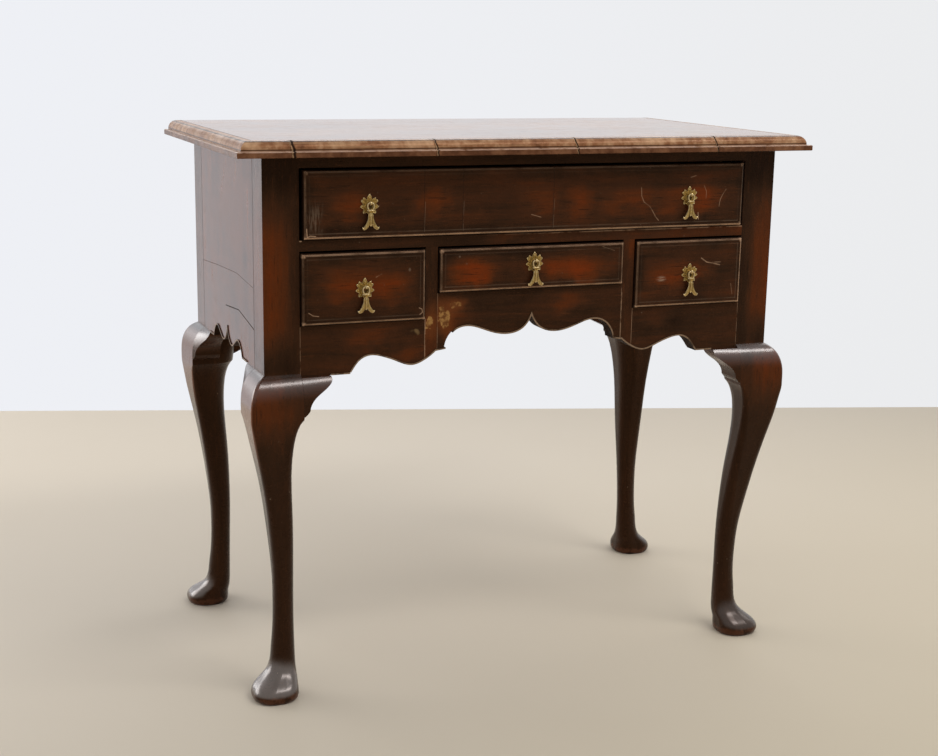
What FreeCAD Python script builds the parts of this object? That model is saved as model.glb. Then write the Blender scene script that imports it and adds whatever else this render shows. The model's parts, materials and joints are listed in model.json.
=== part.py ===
import FreeCAD, Part
import math
import os
from FreeCAD import Vector

# Lowboy with cabriole legs, four drawers and brass drop pulls. Millimetres, +Z up, front faces -Y, +X right.
# The origin is on the floor under the middle of the top.

# Top
overall_height = 730.0
top_width = 807.0
top_thickness = 20.0
top_front_overhang = 34.0
top_back_overhang = 24.0
top_side_overhang = 38.0
moulding_width = 24.0
moulding_inset = 17.5
ovolo_radius = 11.5
band_height = 7.3
band_rounding = 1.2
front_moulding_joints = [-336.0, -150.0, 45.0, 253.0]
side_moulding_joint_from_front = 163.0
moulding_joint_gap = 0.5

# Case
case_depth = 392.0
case_height = 274.0
post_width = 46.8
front_flat_drop = 4.5
rail_depth = 60.0
mid_rail_height = 13.5
top_rail_height = 15.0
long_drawer_opening = 90.0
side_drawer_opening = 95.0
centre_drawer_opening = 61.0
muntin_width = 16.8
centre_opening_width = 268.4
apron_thickness = 22.0
side_panel_thickness = 18.0
back_panel_thickness = 14.0
back_panel_setback = 2.0
tenon_length = 20.0
tenon_thickness = 8.0
tenon_setback = 6.0
rail_tenon_shoulder = 3.0
apron_tenon_shoulder = 9.0
panel_tenon_shoulder = 12.0
back_tenon_shoulder = 3.0
muntin_tenon_height = 6.5

# Shaped lower edges, as (share of the run from the middle, height above the flat beside the knee block)
apron_flat_length = 66.0
step_before_muntin = 12.0
step_into_muntin = 1.8
front_arch_outline = [(0.0, 63.0), (0.035, 55.0), (0.10, 46.5), (0.30, 39.8), (0.53, 46.0),
                      (0.75, 53.5), (0.87, 50.5), (0.95, 42.0), (1.0, 25.0)]
front_lobe_outline = [(0.0, 23.0), (0.14, 11.5), (0.28, 6.3), (0.48, 13.5),
                      (0.63, 20.0), (0.78, 22.5), (0.89, 17.0), (0.95, 9.0), (1.0, 0.0)]
side_outline = [(0.0, 24.5), (0.05, 17.0), (0.145, 9.5), (0.29, 5.5), (0.53, 13.0),
                (0.74, 19.0), (0.86, 15.5), (0.95, 8.0), (1.0, 0.0)]
bead_thickness = 2.0
bead_proud = 1.2
bead_loss_start = 112.5
bead_samples = 24

# Legs: how far the outer faces stand beyond the case corner, how far the inner faces lie inside it,
# and the shares of the half width that the outer corners and the innermost corner are rounded by
foot_stations = [
    # height above the floor, outer, inner, rounding, innermost rounding
    (0.0, 19.6, 34.6, 0.92, 0.92),
    (3.0, 22.0, 36.8, 0.86, 0.86),
    (8.0, 22.8, 37.4, 0.80, 0.80),
    (14.0, 21.0, 37.3, 0.76, 0.78),
    (19.0, 17.0, 37.3, 0.76, 0.80),
    (26.0, 8.4, 38.2, 0.80, 0.84),
    (35.0, -0.6, 38.5, 0.86, 0.88),
    (46.0, -5.2, 38.6, 0.92, 0.94),
]
shin_stations = [
    # share of the way from the top of the foot to the top of the shin, outer, inner, roundings
    (0.05, -7.2, 38.6, 0.95, 0.95),
    (0.12, -9.5, 38.6, 0.97, 0.97),
    (0.22, -10.7, 38.8, 0.94, 0.95),
    (0.34, -9.8, 39.2, 0.86, 0.92),
    (0.46, -5.9, 38.8, 0.70, 0.90),
    (0.61, 0.6, 37.0, 0.53, 0.90),
    (0.76, 9.4, 34.2, 0.39, 0.92),
    (0.88, 17.2, 35.0, 0.27, 0.94),
    (0.94, 20.2, 38.0, 0.20, 0.94),
    (0.98, 21.8, 42.6, 0.12, 0.92),
]
knee_stations = [
    # depth below the knee line, outer, innermost rounding
    (56.0, 22.4, 0.88),
    (44.0, 22.4, 0.70),
    (31.0, 21.4, 0.50),
    (20.0, 18.6, 0.34),
    (11.0, 14.0, 0.24),
    (5.0, 8.4, 0.16),
    (0.0, 0.0, 0.10),
]
knee_rounding = 0.13
knee_side_rounding = 0.02
knee_fall = 3.0
fall_start = 250.0

# Hand-made legs: how far each foot leans outward from its corner, to the side and to the front or back,
# and how much hollower the shin is than the others
leg_makings = {"front_left": (-2.7, 3.3, 4.0), "front_right": (-11.3, 1.7, -2.2),
               "back_left": (3.8, 0.2, 0.0), "back_right": (10.8, -1.8, -1.5)}

# Knee blocks: outline beside the leg as (share of the reach, depth below the flat)
block_reach = 40.0
back_block_reach = 83.0
block_depth = 20.0
front_block_swelling = 0.76
side_block_swelling = 0.32
block_foot = [(0.0, 48.5), (0.11, 45.0), (0.20, 40.5)]
block_scroll = [(0.20, 40.5), (0.24, 33.5), (0.41, 24.5), (0.68, 16.5),
                (0.90, 9.5), (0.99, 4.0), (0.98, 0.0)]
back_block_edge = [(0.0, 48.5), (0.72, 20.4), (1.0, 9.0), (1.0, 0.0)]

# Drawers
drawer_front_thickness = 20.0
drawer_front_proud = 5.5
field_step = 1.0
lip_radius = 2.8
field_arris = 0.4
front_bottom_gap = 0.8
front_top_gap = 2.7
long_drawer_side_gap = 4.4
short_drawer_side_gap = 1.2
drawer_end_space = 12.0
side_thickness = 10.0
side_inset = 0.8
side_drop = 7.0
running_gap = 0.3
guide_gap = 0.6
bottom_thickness = 7.0
bottom_height = 7.0
bottom_groove = 5.0
back_drop = 6.0
front_lap = 6.0
tail_half_height = 7.0
tail_flare = 1.8
deep_drawer_tail_count = 3
shallow_drawer_tail_count = 2

# Runners, guides, kickers and stops
runner_height = 12.0
runner_ledge = 16.0
guide_height = 20.0
kicker_height = 23.0
kicker_width = 20.0
stop_height = 5.0
stop_width = 26.0
stop_depth = 7.5
stop_inset = 45.0

# Pulls
long_pull_inset = 89.7
long_pull_lift = -2.4
side_pull_lift = -2.4
centre_pull_lift = 5.2
plate_thickness = 1.6
plate_core_radius = 7.5
petal_radius = 4.6
petal_hole_radius = 0.7
petal_places = [(0.0, 11.6), (8.1, 5.0), (-8.1, 5.0), (7.6, -4.6), (-7.6, -4.6), (0.0, -8.2)]
petal_holes = [(0.0, 12.6), (8.9, 5.6), (-8.9, 5.6)]
cotter_width = 2.4
cotter_wall = 1.1
shank_radius = 1.0
shank_hole_gap = 0.4
cotter_tail_length = 11.0
cotter_tail_thickness = 0.9
axis_to_plate = 4.4
axis_above_eye = 4.2
bar_radius = 1.3
bar_gap = 0.25
eye_inner_width = 6.4
eye_inner_height = 6.8
eye_wall = 1.8
collar_height = 2.2
collar_half_width = 5.3
collar_half_depth = 2.3
neck_radius = 2.3
neck_height = 2.6
drop_half_depth = 2.0
drop_rounding = 0.6
drop_outline = [(3.4, 0.0), (5.0, -2.4), (4.6, -7.0), (4.4, -10.5), (5.2, -14.0), (7.4, -16.6)]
drop_foot = [(7.4, -16.6), (9.2, -17.2), (11.0, -16.2), (11.3, -18.4), (9.6, -20.6), (6.6, -21.6)]
drop_cleft = [(3.4, -21.2), (0.0, -16.4)]

# How far a cutting shape runs past what it cuts
cut_margin = 1.0

# Places worked out from the sizes above
case_front = -(top_front_overhang + case_depth + top_back_overhang) / 2 + top_front_overhang
case_back = case_front + case_depth
case_half = top_width / 2 - top_side_overhang
case_top = overall_height - top_thickness
knee_line = case_top - case_height
post_inner = case_half - post_width
apron_back = case_front + apron_thickness
rail_back = case_front + rail_depth
back_panel_back = case_back - back_panel_setback
back_panel_front = back_panel_back - back_panel_thickness
side_panel_inner = case_half - side_panel_thickness
front_post_back = case_front + post_width
back_post_front = case_back - post_width
muntin_inner = centre_opening_width / 2
muntin_outer = muntin_inner + muntin_width
long_opening_top = case_top - top_rail_height
long_opening_floor = long_opening_top - long_drawer_opening
short_opening_top = long_opening_floor - mid_rail_height
side_opening_floor = short_opening_top - side_drawer_opening
centre_opening_floor = short_opening_top - centre_drawer_opening
front_flat = knee_line - front_flat_drop
front_face_back = case_front - drawer_front_proud + drawer_front_thickness
field_face = case_front - drawer_front_proud
drawer_back = back_panel_front - drawer_end_space
pull_axis_y = field_face - plate_thickness - axis_to_plate
long_pull_x = post_inner - long_pull_inset
side_pull_x = (muntin_outer + post_inner) / 2


def box(x0, x1, y0, y1, z0, z1):
    """A box between two corners, given in either order."""
    low = Vector(min(x0, x1), min(y0, y1), min(z0, z1))
    return Part.makeBox(abs(x1 - x0), abs(y1 - y0), abs(z1 - z0), low)


def mirror_x(shape):
    return shape.mirror(Vector(0, 0, 0), Vector(1, 0, 0))


def mirror_mid(shape):
    """The shape's twin on the other side of the case's middle, front to back."""
    return shape.mirror(Vector(0, (case_front + case_back) / 2, 0), Vector(0, 1, 0))


def curve(points):
    spline = Part.BSplineCurve()
    spline.interpolate(points)
    return spline.toShape()


def join(shapes):
    whole = shapes[0]
    if len(shapes) > 1:
        whole = whole.fuse(shapes[1:])
    return whole.removeSplitter()


def largest(shape):
    """The main solid of a cut board; the slips between the ends of its beads fall away."""
    return max(shape.Solids, key=lambda solid: solid.Volume)


def save(name, shapes):
    """Writes one node; several solids become a group of separate solids."""
    solids = [solid for shape in shapes for solid in shape.Solids]
    whole = solids[0] if len(solids) == 1 else Part.makeCompound(solids)
    whole.exportStep("parts/" + name + ".step")


# Shaped lower edges

def front_edge():
    """Half of the front's lower edge from the middle to the right post: the arch, then the lobe."""
    arch_reach = muntin_inner - step_before_muntin
    step_end = muntin_inner + step_into_muntin
    lobe_reach = post_inner - apron_flat_length - step_end
    arch = [Vector(share * arch_reach, 0, front_flat + height) for share, height in front_arch_outline]
    lobe = [Vector(step_end + share * lobe_reach, 0, front_flat + height)
            for share, height in front_lobe_outline]
    return arch, lobe


def side_edge():
    """Half of a side's lower edge from the middle towards the back, on the YZ plane."""
    reach = case_depth / 2 - post_width - apron_flat_length
    return [Vector(0, share * reach, knee_line + height) for share, height in side_outline]


def shaped_region(halves, flat_end, top, along):
    """A face above a shaped edge. Each half is a group of point lists, mirrored about the middle."""
    def flip(point):
        return Vector(-point.x, -point.y, point.z)
    edges = [curve(points) for points in halves]
    edges += [curve([flip(point) for point in points]) for points in halves]
    joints = [points[-1] for points in halves[:-1]]
    starts = [points[0] for points in halves[1:]]
    for end, start in zip(joints, starts):
        edges.append(Part.LineSegment(end, start).toShape())
        edges.append(Part.LineSegment(flip(end), flip(start)).toShape())
    last = halves[-1][-1]
    corner = along * flat_end + Vector(0, 0, last.z)
    crown = along * flat_end + Vector(0, 0, top)
    frame = [last, corner, crown, flip(crown), flip(corner), flip(last)]
    edges += [Part.LineSegment(a, b).toShape() for a, b in zip(frame, frame[1:])]
    return Part.Face(Part.Wire(Part.__sortEdges__(edges)))


def front_region():
    arch, lobe = front_edge()
    return shaped_region([arch, lobe], post_inner, short_opening_top, Vector(1, 0, 0))


def side_region():
    half_length = case_depth / 2 - post_width
    return shaped_region([side_edge()], half_length, case_top, Vector(0, 1, 0))


def bead_strip(points, facing):
    """The face between a shaped edge and its parallel above, mitred at its start and cut level at its end."""
    edge = Part.BSplineCurve()
    edge.interpolate(points)
    first, last = edge.FirstParameter, edge.LastParameter
    above = []
    for index in range(bead_samples + 1):
        place = first + (last - first) * index / bead_samples
        above.append(edge.value(place) + facing.cross(edge.tangent(place)[0]) * bead_thickness)
    along = Vector(0, 0, 1).cross(facing)
    start = points[0]
    slope = edge.tangent(first)[0]
    mitre = above[0] - slope * ((above[0] - start).dot(along) / slope.dot(along))
    ends = [Part.LineSegment(a, b).toShape() for a, b in
            ((start, mitre), (mitre, above[0]), (points[-1], above[-1]))]
    face = Part.Face(Part.Wire(Part.__sortEdges__([edge.toShape(), curve(above)] + ends)))
    span = (points[-1] - start).Length
    low = Vector(start.x, start.y, points[-1].z + bead_thickness)
    high = low + Vector(0, 0, span)
    corners = [low, low + along * span, high + along * span, high]
    return face.common(Part.Face(Part.makePolygon(corners + corners[:1])))


def bead_flat(start, end):
    """The face of a straight strip on an edge; the curved strip before it stands on it."""
    up = Vector(0, 0, bead_thickness)
    corners = [start, end, end + up, start + up]
    return Part.Face(Part.makePolygon(corners + corners[:1]))


def front_bead():
    """The strips along the right half of the front's lower edge."""
    arch, lobe = front_edge()
    facing = Vector(0, -1, 0)
    end = Vector(post_inner - block_reach, 0, front_flat)
    faces = [bead_strip(arch, facing), bead_flat(arch[-1], lobe[0]),
             bead_strip(lobe, facing), bead_flat(lobe[-1], end)]
    strips = [face.extrude(Vector(0, bead_proud + apron_thickness, 0)) for face in faces]
    for strip in strips:
        strip.translate(Vector(0, case_front - bead_proud, 0))
    return strips


def side_bead():
    """The strips along the right side's lower edge."""
    edge = side_edge()
    end = Vector(0, case_depth / 2 - post_width - block_reach, knee_line)
    strips = []
    for face in (bead_strip(edge, Vector(1, 0, 0)), bead_flat(edge[-1], end)):
        strip = face.extrude(Vector(bead_proud + side_panel_thickness, 0, 0))
        strip.translate(Vector(side_panel_inner, (case_front + case_back) / 2, 0))
        strips += [strip, mirror_mid(strip)]
    return strips


# Legs and knee blocks

def rounded_outline(corners, radii):
    """A closed outline of straight sides with an arc at each corner."""
    arcs = []
    for index, corner in enumerate(corners):
        before = (corners[index - 1] - corner).normalize()
        after = (corners[(index + 1) % len(corners)] - corner).normalize()
        half_angle = before.getAngle(after) / 2
        reach = radii[index] / math.tan(half_angle)
        depth = radii[index] / math.sin(half_angle) - radii[index]
        bisector = (before + after).normalize()
        arcs.append((corner + before * reach, corner + bisector * depth, corner + after * reach))
    edges = []
    for index, (start, middle, end) in enumerate(arcs):
        edges.append(Part.Arc(start, middle, end).toShape())
        edges.append(Part.LineSegment(end, arcs[(index + 1) % len(arcs)][0]).toShape())
    return Part.Wire(edges)


def leg_section(z, outer, inner, fall, roundings, lean):
    """A leg's section at the front left corner. The outer faces fall away from the arris between them."""
    x, y = -case_half - lean[0], case_front - lean[1]
    corners = [Vector(x - outer, y - outer, z), Vector(x + inner, y - outer + fall, z),
               Vector(x + inner, y + inner, z), Vector(x - outer + fall, y + inner, z)]
    half = (outer + inner) / 2
    arris, side, innermost = roundings
    return rounded_outline(corners, [half * arris, half * side, half * innermost, half * side])


def leg(lean_side, lean_front, hollow):
    """A leg with its post at the front left corner, before the mortises."""
    shin_foot = foot_stations[-1][0]
    shin_top = knee_line - knee_stations[0][0]
    upright = (0.0, 0.0)
    sections = []

    def add_section(z, outer, inner, rounding, innermost):
        part_way = 1 - z / shin_top
        fall = knee_fall * max(0.0, (z - fall_start) / (shin_top - fall_start))
        sections.append(leg_section(z, outer, inner, fall, (rounding, rounding, innermost),
                                    (lean_side * part_way, lean_front * part_way)))
    for z, outer, inner, rounding, innermost in foot_stations:
        add_section(z, outer, inner, rounding, innermost)
    for share, outer, inner, rounding, innermost in shin_stations:
        narrowing = hollow * 27 / 4 * share * share * (1 - share)
        add_section(shin_foot + share * (shin_top - shin_foot), outer - narrowing, inner, rounding, innermost)
    knee = []
    for depth, outer, innermost in knee_stations:
        fall = knee_fall * outer / knee_stations[0][1]
        knee.append(leg_section(knee_line - depth, outer, post_width, fall,
                                (knee_rounding, knee_side_rounding, innermost), upright))
    sections.append(knee[0])
    post = box(-case_half, -post_inner, case_front, front_post_back, knee_line, case_top)
    return Part.makeLoft(sections, True).fuse([Part.makeLoft(knee, True), post])


def block_section(x, swelling):
    """The knee's swelling in the plane at x, from the back of the block to the leg's front face."""
    points = [Vector(x, case_front - outer * swelling, knee_line - depth)
              for depth, outer, innermost in knee_stations]
    back = case_front + block_depth
    low = Vector(x, back, points[0].z)
    high = Vector(x, back, knee_line)
    sides = [Part.LineSegment(a, b).toShape() for a, b in ((points[0], low), (low, high), (high, points[-1]))]
    return Part.Wire(Part.__sortEdges__([curve(points)] + sides))


def knee_block(flat, reach, swelling, outline):
    """A block beside the front left knee on the front face, with its top at the flat of the apron above.
    Its swelling falls to the given share at its far end. The outline is a list of curves in order."""
    beside_leg = 1 - knee_fall / knee_stations[0][1]
    ends = [block_section(-post_inner, beside_leg), block_section(-post_inner + reach, swelling)]
    body = Part.makeLoft(ends, True, True)
    edges = []
    for points in outline:
        edges.append(curve([Vector(-post_inner + share * reach, 0, flat - depth) for share, depth in points]))
    first = outline[0][0]
    last = outline[-1][-1]
    foot = Vector(-post_inner + first[0] * reach, 0, flat - first[1])
    tip = Vector(-post_inner + last[0] * reach, 0, flat - last[1])
    top = Vector(-post_inner, 0, flat)
    edges += [Part.LineSegment(tip, top).toShape(), Part.LineSegment(top, foot).toShape()]
    face = Part.Face(Part.Wire(Part.__sortEdges__(edges)))
    reach_out = max(outer for depth, outer, innermost in knee_stations) + cut_margin
    face.translate(Vector(0, case_front - reach_out, 0))
    return body.common(face.extrude(Vector(0, reach_out + block_depth, 0)))


def turn_to_side(shape):
    """Swaps the front face's directions for the side's about the front left corner."""
    corner = Vector(-case_half, case_front, 0)
    return shape.mirror(corner, Vector(1, -1, 0))


# Boards of the case

def case_boards():
    """Boards by name, and the tenons that enter the posts, grouped as front and back, drawn on both sides."""
    tenon_front = case_front + tenon_setback
    tenon_back = tenon_front + tenon_thickness
    boards = {}
    front_tenons = []
    slab = front_region().extrude(Vector(0, apron_thickness, 0))
    slab.translate(Vector(0, case_front, 0))
    bead = front_bead()
    slab = largest(slab.cut(bead + [mirror_x(strip) for strip in bead]))

    def rail(name, low, high):
        body = box(-post_inner, post_inner, case_front, rail_back, low, high)
        tenon = box(post_inner, post_inner + tenon_length, tenon_front, tenon_back,
                    low + rail_tenon_shoulder, high - rail_tenon_shoulder)
        front_tenons.append(tenon)
        boards[name] = join([body, tenon, mirror_x(tenon)])
    rail("top_rail", long_opening_top, case_top)
    rail("mid_rail", short_opening_top, long_opening_floor)

    apron = slab.common(box(muntin_outer, post_inner, case_front, apron_back, 0, side_opening_floor))
    tenon = box(post_inner, post_inner + tenon_length, tenon_front, tenon_back,
                front_flat + apron_tenon_shoulder, side_opening_floor - apron_tenon_shoulder)
    front_tenons.append(tenon)
    boards["apron_right"] = join([apron, tenon])
    boards["apron_left"] = mirror_x(boards["apron_right"])
    boards["apron_centre"] = slab.common(
        box(-muntin_inner, muntin_inner, case_front, apron_back, 0, centre_opening_floor))
    muntin = slab.common(box(muntin_inner, muntin_outer, case_front, apron_back, 0, short_opening_top))
    muntin_tenon = box(muntin_inner + rail_tenon_shoulder, muntin_outer - rail_tenon_shoulder,
                       tenon_front, tenon_back, short_opening_top, short_opening_top + muntin_tenon_height)
    boards["muntin_right"] = join([muntin, muntin_tenon])
    boards["muntin_left"] = mirror_x(boards["muntin_right"])
    boards["mid_rail"] = boards["mid_rail"].cut([muntin_tenon, mirror_x(muntin_tenon)])

    panel = side_region().extrude(Vector(side_panel_thickness, 0, 0))
    panel.translate(Vector(side_panel_inner, (case_front + case_back) / 2, 0))
    panel = largest(panel.cut(side_bead()))
    side_tenon = box(case_half - tenon_setback - tenon_thickness, case_half - tenon_setback,
                     front_post_back - tenon_length, front_post_back,
                     knee_line + panel_tenon_shoulder, case_top - panel_tenon_shoulder)
    boards["side_panel_right"] = join([panel, side_tenon, mirror_mid(side_tenon)])
    boards["side_panel_left"] = mirror_x(boards["side_panel_right"])
    back_tenon = box(post_inner, post_inner + tenon_length, back_panel_front + back_tenon_shoulder,
                     back_panel_back - back_tenon_shoulder, knee_line + panel_tenon_shoulder,
                     case_top - panel_tenon_shoulder)
    back = box(-post_inner, post_inner, back_panel_front, back_panel_back, knee_line, case_top)
    boards["back_panel"] = join([back, back_tenon, mirror_x(back_tenon)])
    front_corner = front_tenons + [side_tenon]
    back_corner = [back_tenon, mirror_mid(side_tenon)]
    return boards, front_corner, back_corner


def save_legs(front_corner, back_corner):
    """Each leg is shaped at the front left corner, turned to its own and cut for the tenons there."""
    for name, making in leg_makings.items():
        shape = leg(*making)
        mortises = front_corner
        if name.startswith("back"):
            shape = mirror_mid(shape)
            mortises = back_corner
        if name.endswith("right"):
            shape = mirror_x(shape)
        else:
            mortises = [mirror_x(tenon) for tenon in mortises]
        save("leg_" + name, [shape.cut(mortises)])


def save_knee_blocks():
    scroll = [block_foot, block_scroll]
    straight = [back_block_edge[index:index + 2] for index in range(len(back_block_edge) - 1)]
    front = knee_block(front_flat, block_reach, front_block_swelling, scroll)
    side = turn_to_side(knee_block(knee_line, block_reach, side_block_swelling, scroll))
    back = mirror_mid(knee_block(knee_line, back_block_reach, side_block_swelling, straight))
    back_side = mirror_mid(side)
    save("knee_blocks_front_left", [front, side])
    save("knee_blocks_front_right", [mirror_x(front), mirror_x(side)])
    save("knee_blocks_back_left", [back, back_side])
    save("knee_blocks_back_right", [mirror_x(back), mirror_x(back_side)])


def save_cockbeads():
    """Thin strips along the shaped edges; the left arch's is broken off at its outer end."""
    strips = front_bead()
    left_strips = [mirror_x(strip) for strip in strips]
    broken = left_strips[0].BoundBox
    loss = box(broken.XMin - cut_margin, -bead_loss_start, broken.YMin - cut_margin, broken.YMax + cut_margin,
               broken.ZMin - cut_margin, broken.ZMax + cut_margin)
    left_strips[0] = left_strips[0].cut(loss)
    save("cockbead_front", strips + left_strips)
    side_strips = side_bead()
    save("cockbead_sides", side_strips + [mirror_x(strip) for strip in side_strips])


# Top

def moulding_section():
    """The edge moulding as (distance in from the edge, height) corners: ovolo over a rounded band."""
    base = case_top
    crown = overall_height
    ovolo_foot = crown - ovolo_radius
    nose = moulding_inset - ovolo_radius
    turn = band_rounding * (1 - math.sqrt(0.5))
    sweep = ovolo_radius * (1 - math.sqrt(0.5))

    def at(inward, z):
        return Vector(0, inward, z)
    band_top = base + band_height
    edges = [
        Part.LineSegment(at(moulding_width, base), at(band_rounding, base)),
        Part.Arc(at(band_rounding, base), at(turn, base + turn), at(0, base + band_rounding)),
        Part.LineSegment(at(0, base + band_rounding), at(0, band_top - band_rounding)),
        Part.Arc(at(0, band_top - band_rounding), at(turn, band_top - turn), at(band_rounding, band_top)),
        Part.LineSegment(at(band_rounding, band_top), at(nose, band_top)),
        Part.LineSegment(at(nose, band_top), at(nose, ovolo_foot)),
        Part.Arc(at(nose, ovolo_foot), at(nose + sweep, crown - sweep), at(moulding_inset, crown)),
        Part.LineSegment(at(moulding_inset, crown), at(moulding_width, crown)),
        Part.LineSegment(at(moulding_width, crown), at(moulding_width, base)),
    ]
    return Part.Face(Part.Wire([edge.toShape() for edge in edges]))


def save_top():
    front = case_front - top_front_overhang
    back = case_back + top_back_overhang
    half = top_width / 2
    inner = half - moulding_width
    save("top_board", [box(-inner, inner, front + moulding_width, back, case_top, overall_height)])

    section = moulding_section()
    section.translate(Vector(-half, front, 0))
    front_run = section.extrude(Vector(top_width, 0, 0))
    mitre = front + moulding_width
    corners = [Vector(-half, front, case_top), Vector(half, front, case_top),
               Vector(inner, mitre, case_top), Vector(-inner, mitre, case_top)]
    plan = Part.Face(Part.makePolygon(corners + corners[:1])).extrude(Vector(0, 0, top_thickness))
    front_run = front_run.common(plan)
    ends = [-half] + front_moulding_joints + [half]
    lengths = []
    for left, right in zip(ends, ends[1:]):
        left_end = left if left == -half else left + moulding_joint_gap / 2
        right_end = right if right == half else right - moulding_joint_gap / 2
        length = box(left_end, right_end, front, mitre, case_top, overall_height)
        lengths.append(front_run.common(length))
    save("top_moulding_front", lengths)

    side_section = moulding_section()
    side_section.rotate(Vector(0, 0, 0), Vector(0, 0, 1), -90)
    side_section.translate(Vector(-half, front, 0))
    side_run = side_section.extrude(Vector(0, back - front, 0))
    corners = [Vector(-half, front, case_top), Vector(-inner, mitre, case_top),
               Vector(-inner, back, case_top), Vector(-half, back, case_top)]
    plan = Part.Face(Part.makePolygon(corners + corners[:1])).extrude(Vector(0, 0, top_thickness))
    side_run = side_run.common(plan)
    joint = front + side_moulding_joint_from_front
    side_lengths = []
    for start, stop in ((front, joint - moulding_joint_gap / 2), (joint + moulding_joint_gap / 2, back)):
        side_lengths.append(side_run.common(box(-half, -inner, start, stop, case_top, overall_height)))
    save("top_moulding_left", side_lengths)
    save("top_moulding_right", [mirror_x(length) for length in side_lengths])


# Inside the case

def both(shape):
    return [shape, mirror_x(shape)]


def save_inside():
    partition = box(muntin_inner, muntin_outer, apron_back, back_panel_front,
                    side_opening_floor - runner_height, short_opening_top)
    save("partitions", both(partition))

    def outer_runner(front_end, floor, height):
        ledge = box(post_inner - runner_ledge, post_inner, front_end, back_panel_front, floor - height, floor)
        wing = box(post_inner, side_panel_inner, front_post_back, back_post_front, floor - height, floor)
        return join([ledge, wing])
    long_runner = outer_runner(rail_back, long_opening_floor, mid_rail_height)
    save("long_drawer_runners", both(long_runner))
    side_runner = outer_runner(apron_back, side_opening_floor, runner_height)
    inner_runner = box(muntin_outer, muntin_outer + runner_ledge, apron_back, back_panel_front,
                       side_opening_floor - runner_height, side_opening_floor)
    save("side_drawer_runners", both(side_runner) + both(inner_runner))
    centre_runner = box(muntin_inner - runner_ledge, muntin_inner, apron_back, back_panel_front,
                        centre_opening_floor - runner_height, centre_opening_floor)
    save("centre_drawer_runners", both(centre_runner))

    def guide(drawer_half, floor):
        return box(drawer_half + guide_gap, side_panel_inner, front_post_back, back_post_front,
                   floor, floor + guide_height)
    long_half = post_inner - long_drawer_side_gap - side_inset
    side_half = post_inner - short_drawer_side_gap - side_inset
    guides = both(guide(long_half, long_opening_floor)) + both(guide(side_half, side_opening_floor))
    save("drawer_guides", guides)
    kicker = box(post_inner - kicker_width, post_inner, rail_back, back_panel_front,
                 case_top - kicker_height, case_top)
    save("kickers", both(kicker))

    def stop(x, floor):
        return box(x - stop_width / 2, x + stop_width / 2, front_face_back, front_face_back + stop_depth,
                   floor, floor + stop_height)
    stops = both(stop(post_inner - stop_inset, long_opening_floor))
    stops += both(stop(post_inner - stop_inset, side_opening_floor))
    stops += both(stop(muntin_outer + stop_inset, side_opening_floor))
    stops += both(stop(muntin_inner - stop_inset, centre_opening_floor))
    save("drawer_stops", stops)


# Drawers

def tail(x0, x1, root, tip, z):
    """One dovetail tail across a side's thickness, wide at its tip."""
    narrow = tail_half_height - tail_flare
    corners = [Vector(x0, root, z - narrow), Vector(x0, tip, z - tail_half_height),
               Vector(x0, tip, z + tail_half_height), Vector(x0, root, z + narrow)]
    return Part.Face(Part.makePolygon(corners + corners[:1])).extrude(Vector(x1 - x0, 0, 0))


def tails(x0, x1, root, tip, low, high, count):
    pitch = (high - low) / count
    return [tail(x0, x1, root, tip, low + pitch * (index + 0.5)) for index in range(count)]


def drawer_front(x0, x1, z0, z1):
    """A front board with a quarter-round lip and a raised field."""
    lip_face = field_face + field_step
    board = box(x0, x1, lip_face, front_face_back, z0, z1)
    lip = [edge for edge in board.Edges if abs(edge.CenterOfMass.y - lip_face) < 0.01]
    board = board.makeFillet(lip_radius, lip)
    field = box(x0 + lip_radius, x1 - lip_radius, field_face, lip_face + field_step,
                z0 + lip_radius, z1 - lip_radius)
    arris = [edge for edge in field.Edges if abs(edge.CenterOfMass.y - field_face) < 0.01]
    return join([board, field.makeFillet(field_arris, arris)])


def drawer(name, opening, side_gap, tail_count, pulls):
    """Front, two sides, back and bottom of one drawer, with its pulls at (x, z) places."""
    left, right, floor, ceiling = opening
    x0, x1 = left + side_gap, right - side_gap
    z0, z1 = floor + front_bottom_gap, ceiling - front_top_gap
    side_low, side_high = floor + running_gap, z1 - side_drop
    back_low, back_high = side_low + bottom_height + bottom_thickness, side_high - back_drop
    front = drawer_front(x0, x1, z0, z1)
    inner_left, inner_right = x0 + side_inset + side_thickness, x1 - side_inset - side_thickness
    bottom = box(inner_left - bottom_groove, inner_right + bottom_groove, front_face_back - bottom_groove,
                 drawer_back, side_low + bottom_height, back_low)
    back_face = drawer_back - side_thickness
    back = box(inner_left, inner_right, back_face, drawer_back, back_low, back_high)
    sides = []
    tail_tip = front_face_back - drawer_front_thickness + drawer_front_proud + front_lap
    for outer in (inner_left - side_thickness, inner_right):
        inner = outer + side_thickness
        front_tails = tails(outer, inner, front_face_back, tail_tip, back_low, side_high, tail_count)
        rear_tails = tails(outer, inner, back_face, drawer_back, back_low, back_high, tail_count)
        pins = box(outer, inner, back_face, drawer_back, back_low, back_high).cut(rear_tails)
        board = box(outer, inner, front_face_back, drawer_back, side_low, side_high)
        board = join([board] + front_tails).cut([pins, bottom])
        sides.append(board)
        front = front.cut(front_tails)
        back = back.fuse(pins)
    holes = [shank_hole(x, z) for x, z in pulls]
    front = front.cut([bottom] + holes)
    save(name + "_front", [front])
    save(name + "_sides", sides)
    save(name + "_back", [back.removeSplitter()])
    save(name + "_bottom", [bottom])
    save(name + "_backplates", [backplate(x, z) for x, z in pulls])
    save(name + "_cotters", [cotter(x, z) for x, z in pulls])


# Pulls

def rod_y(x, z, radius, y0, y1):
    return Part.makeCylinder(radius, y1 - y0, Vector(x, y0, z), Vector(0, 1, 0))


def rod_x(x0, x1, y, z, radius):
    return Part.makeCylinder(radius, x1 - x0, Vector(x0, y, z), Vector(1, 0, 0))


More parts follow.
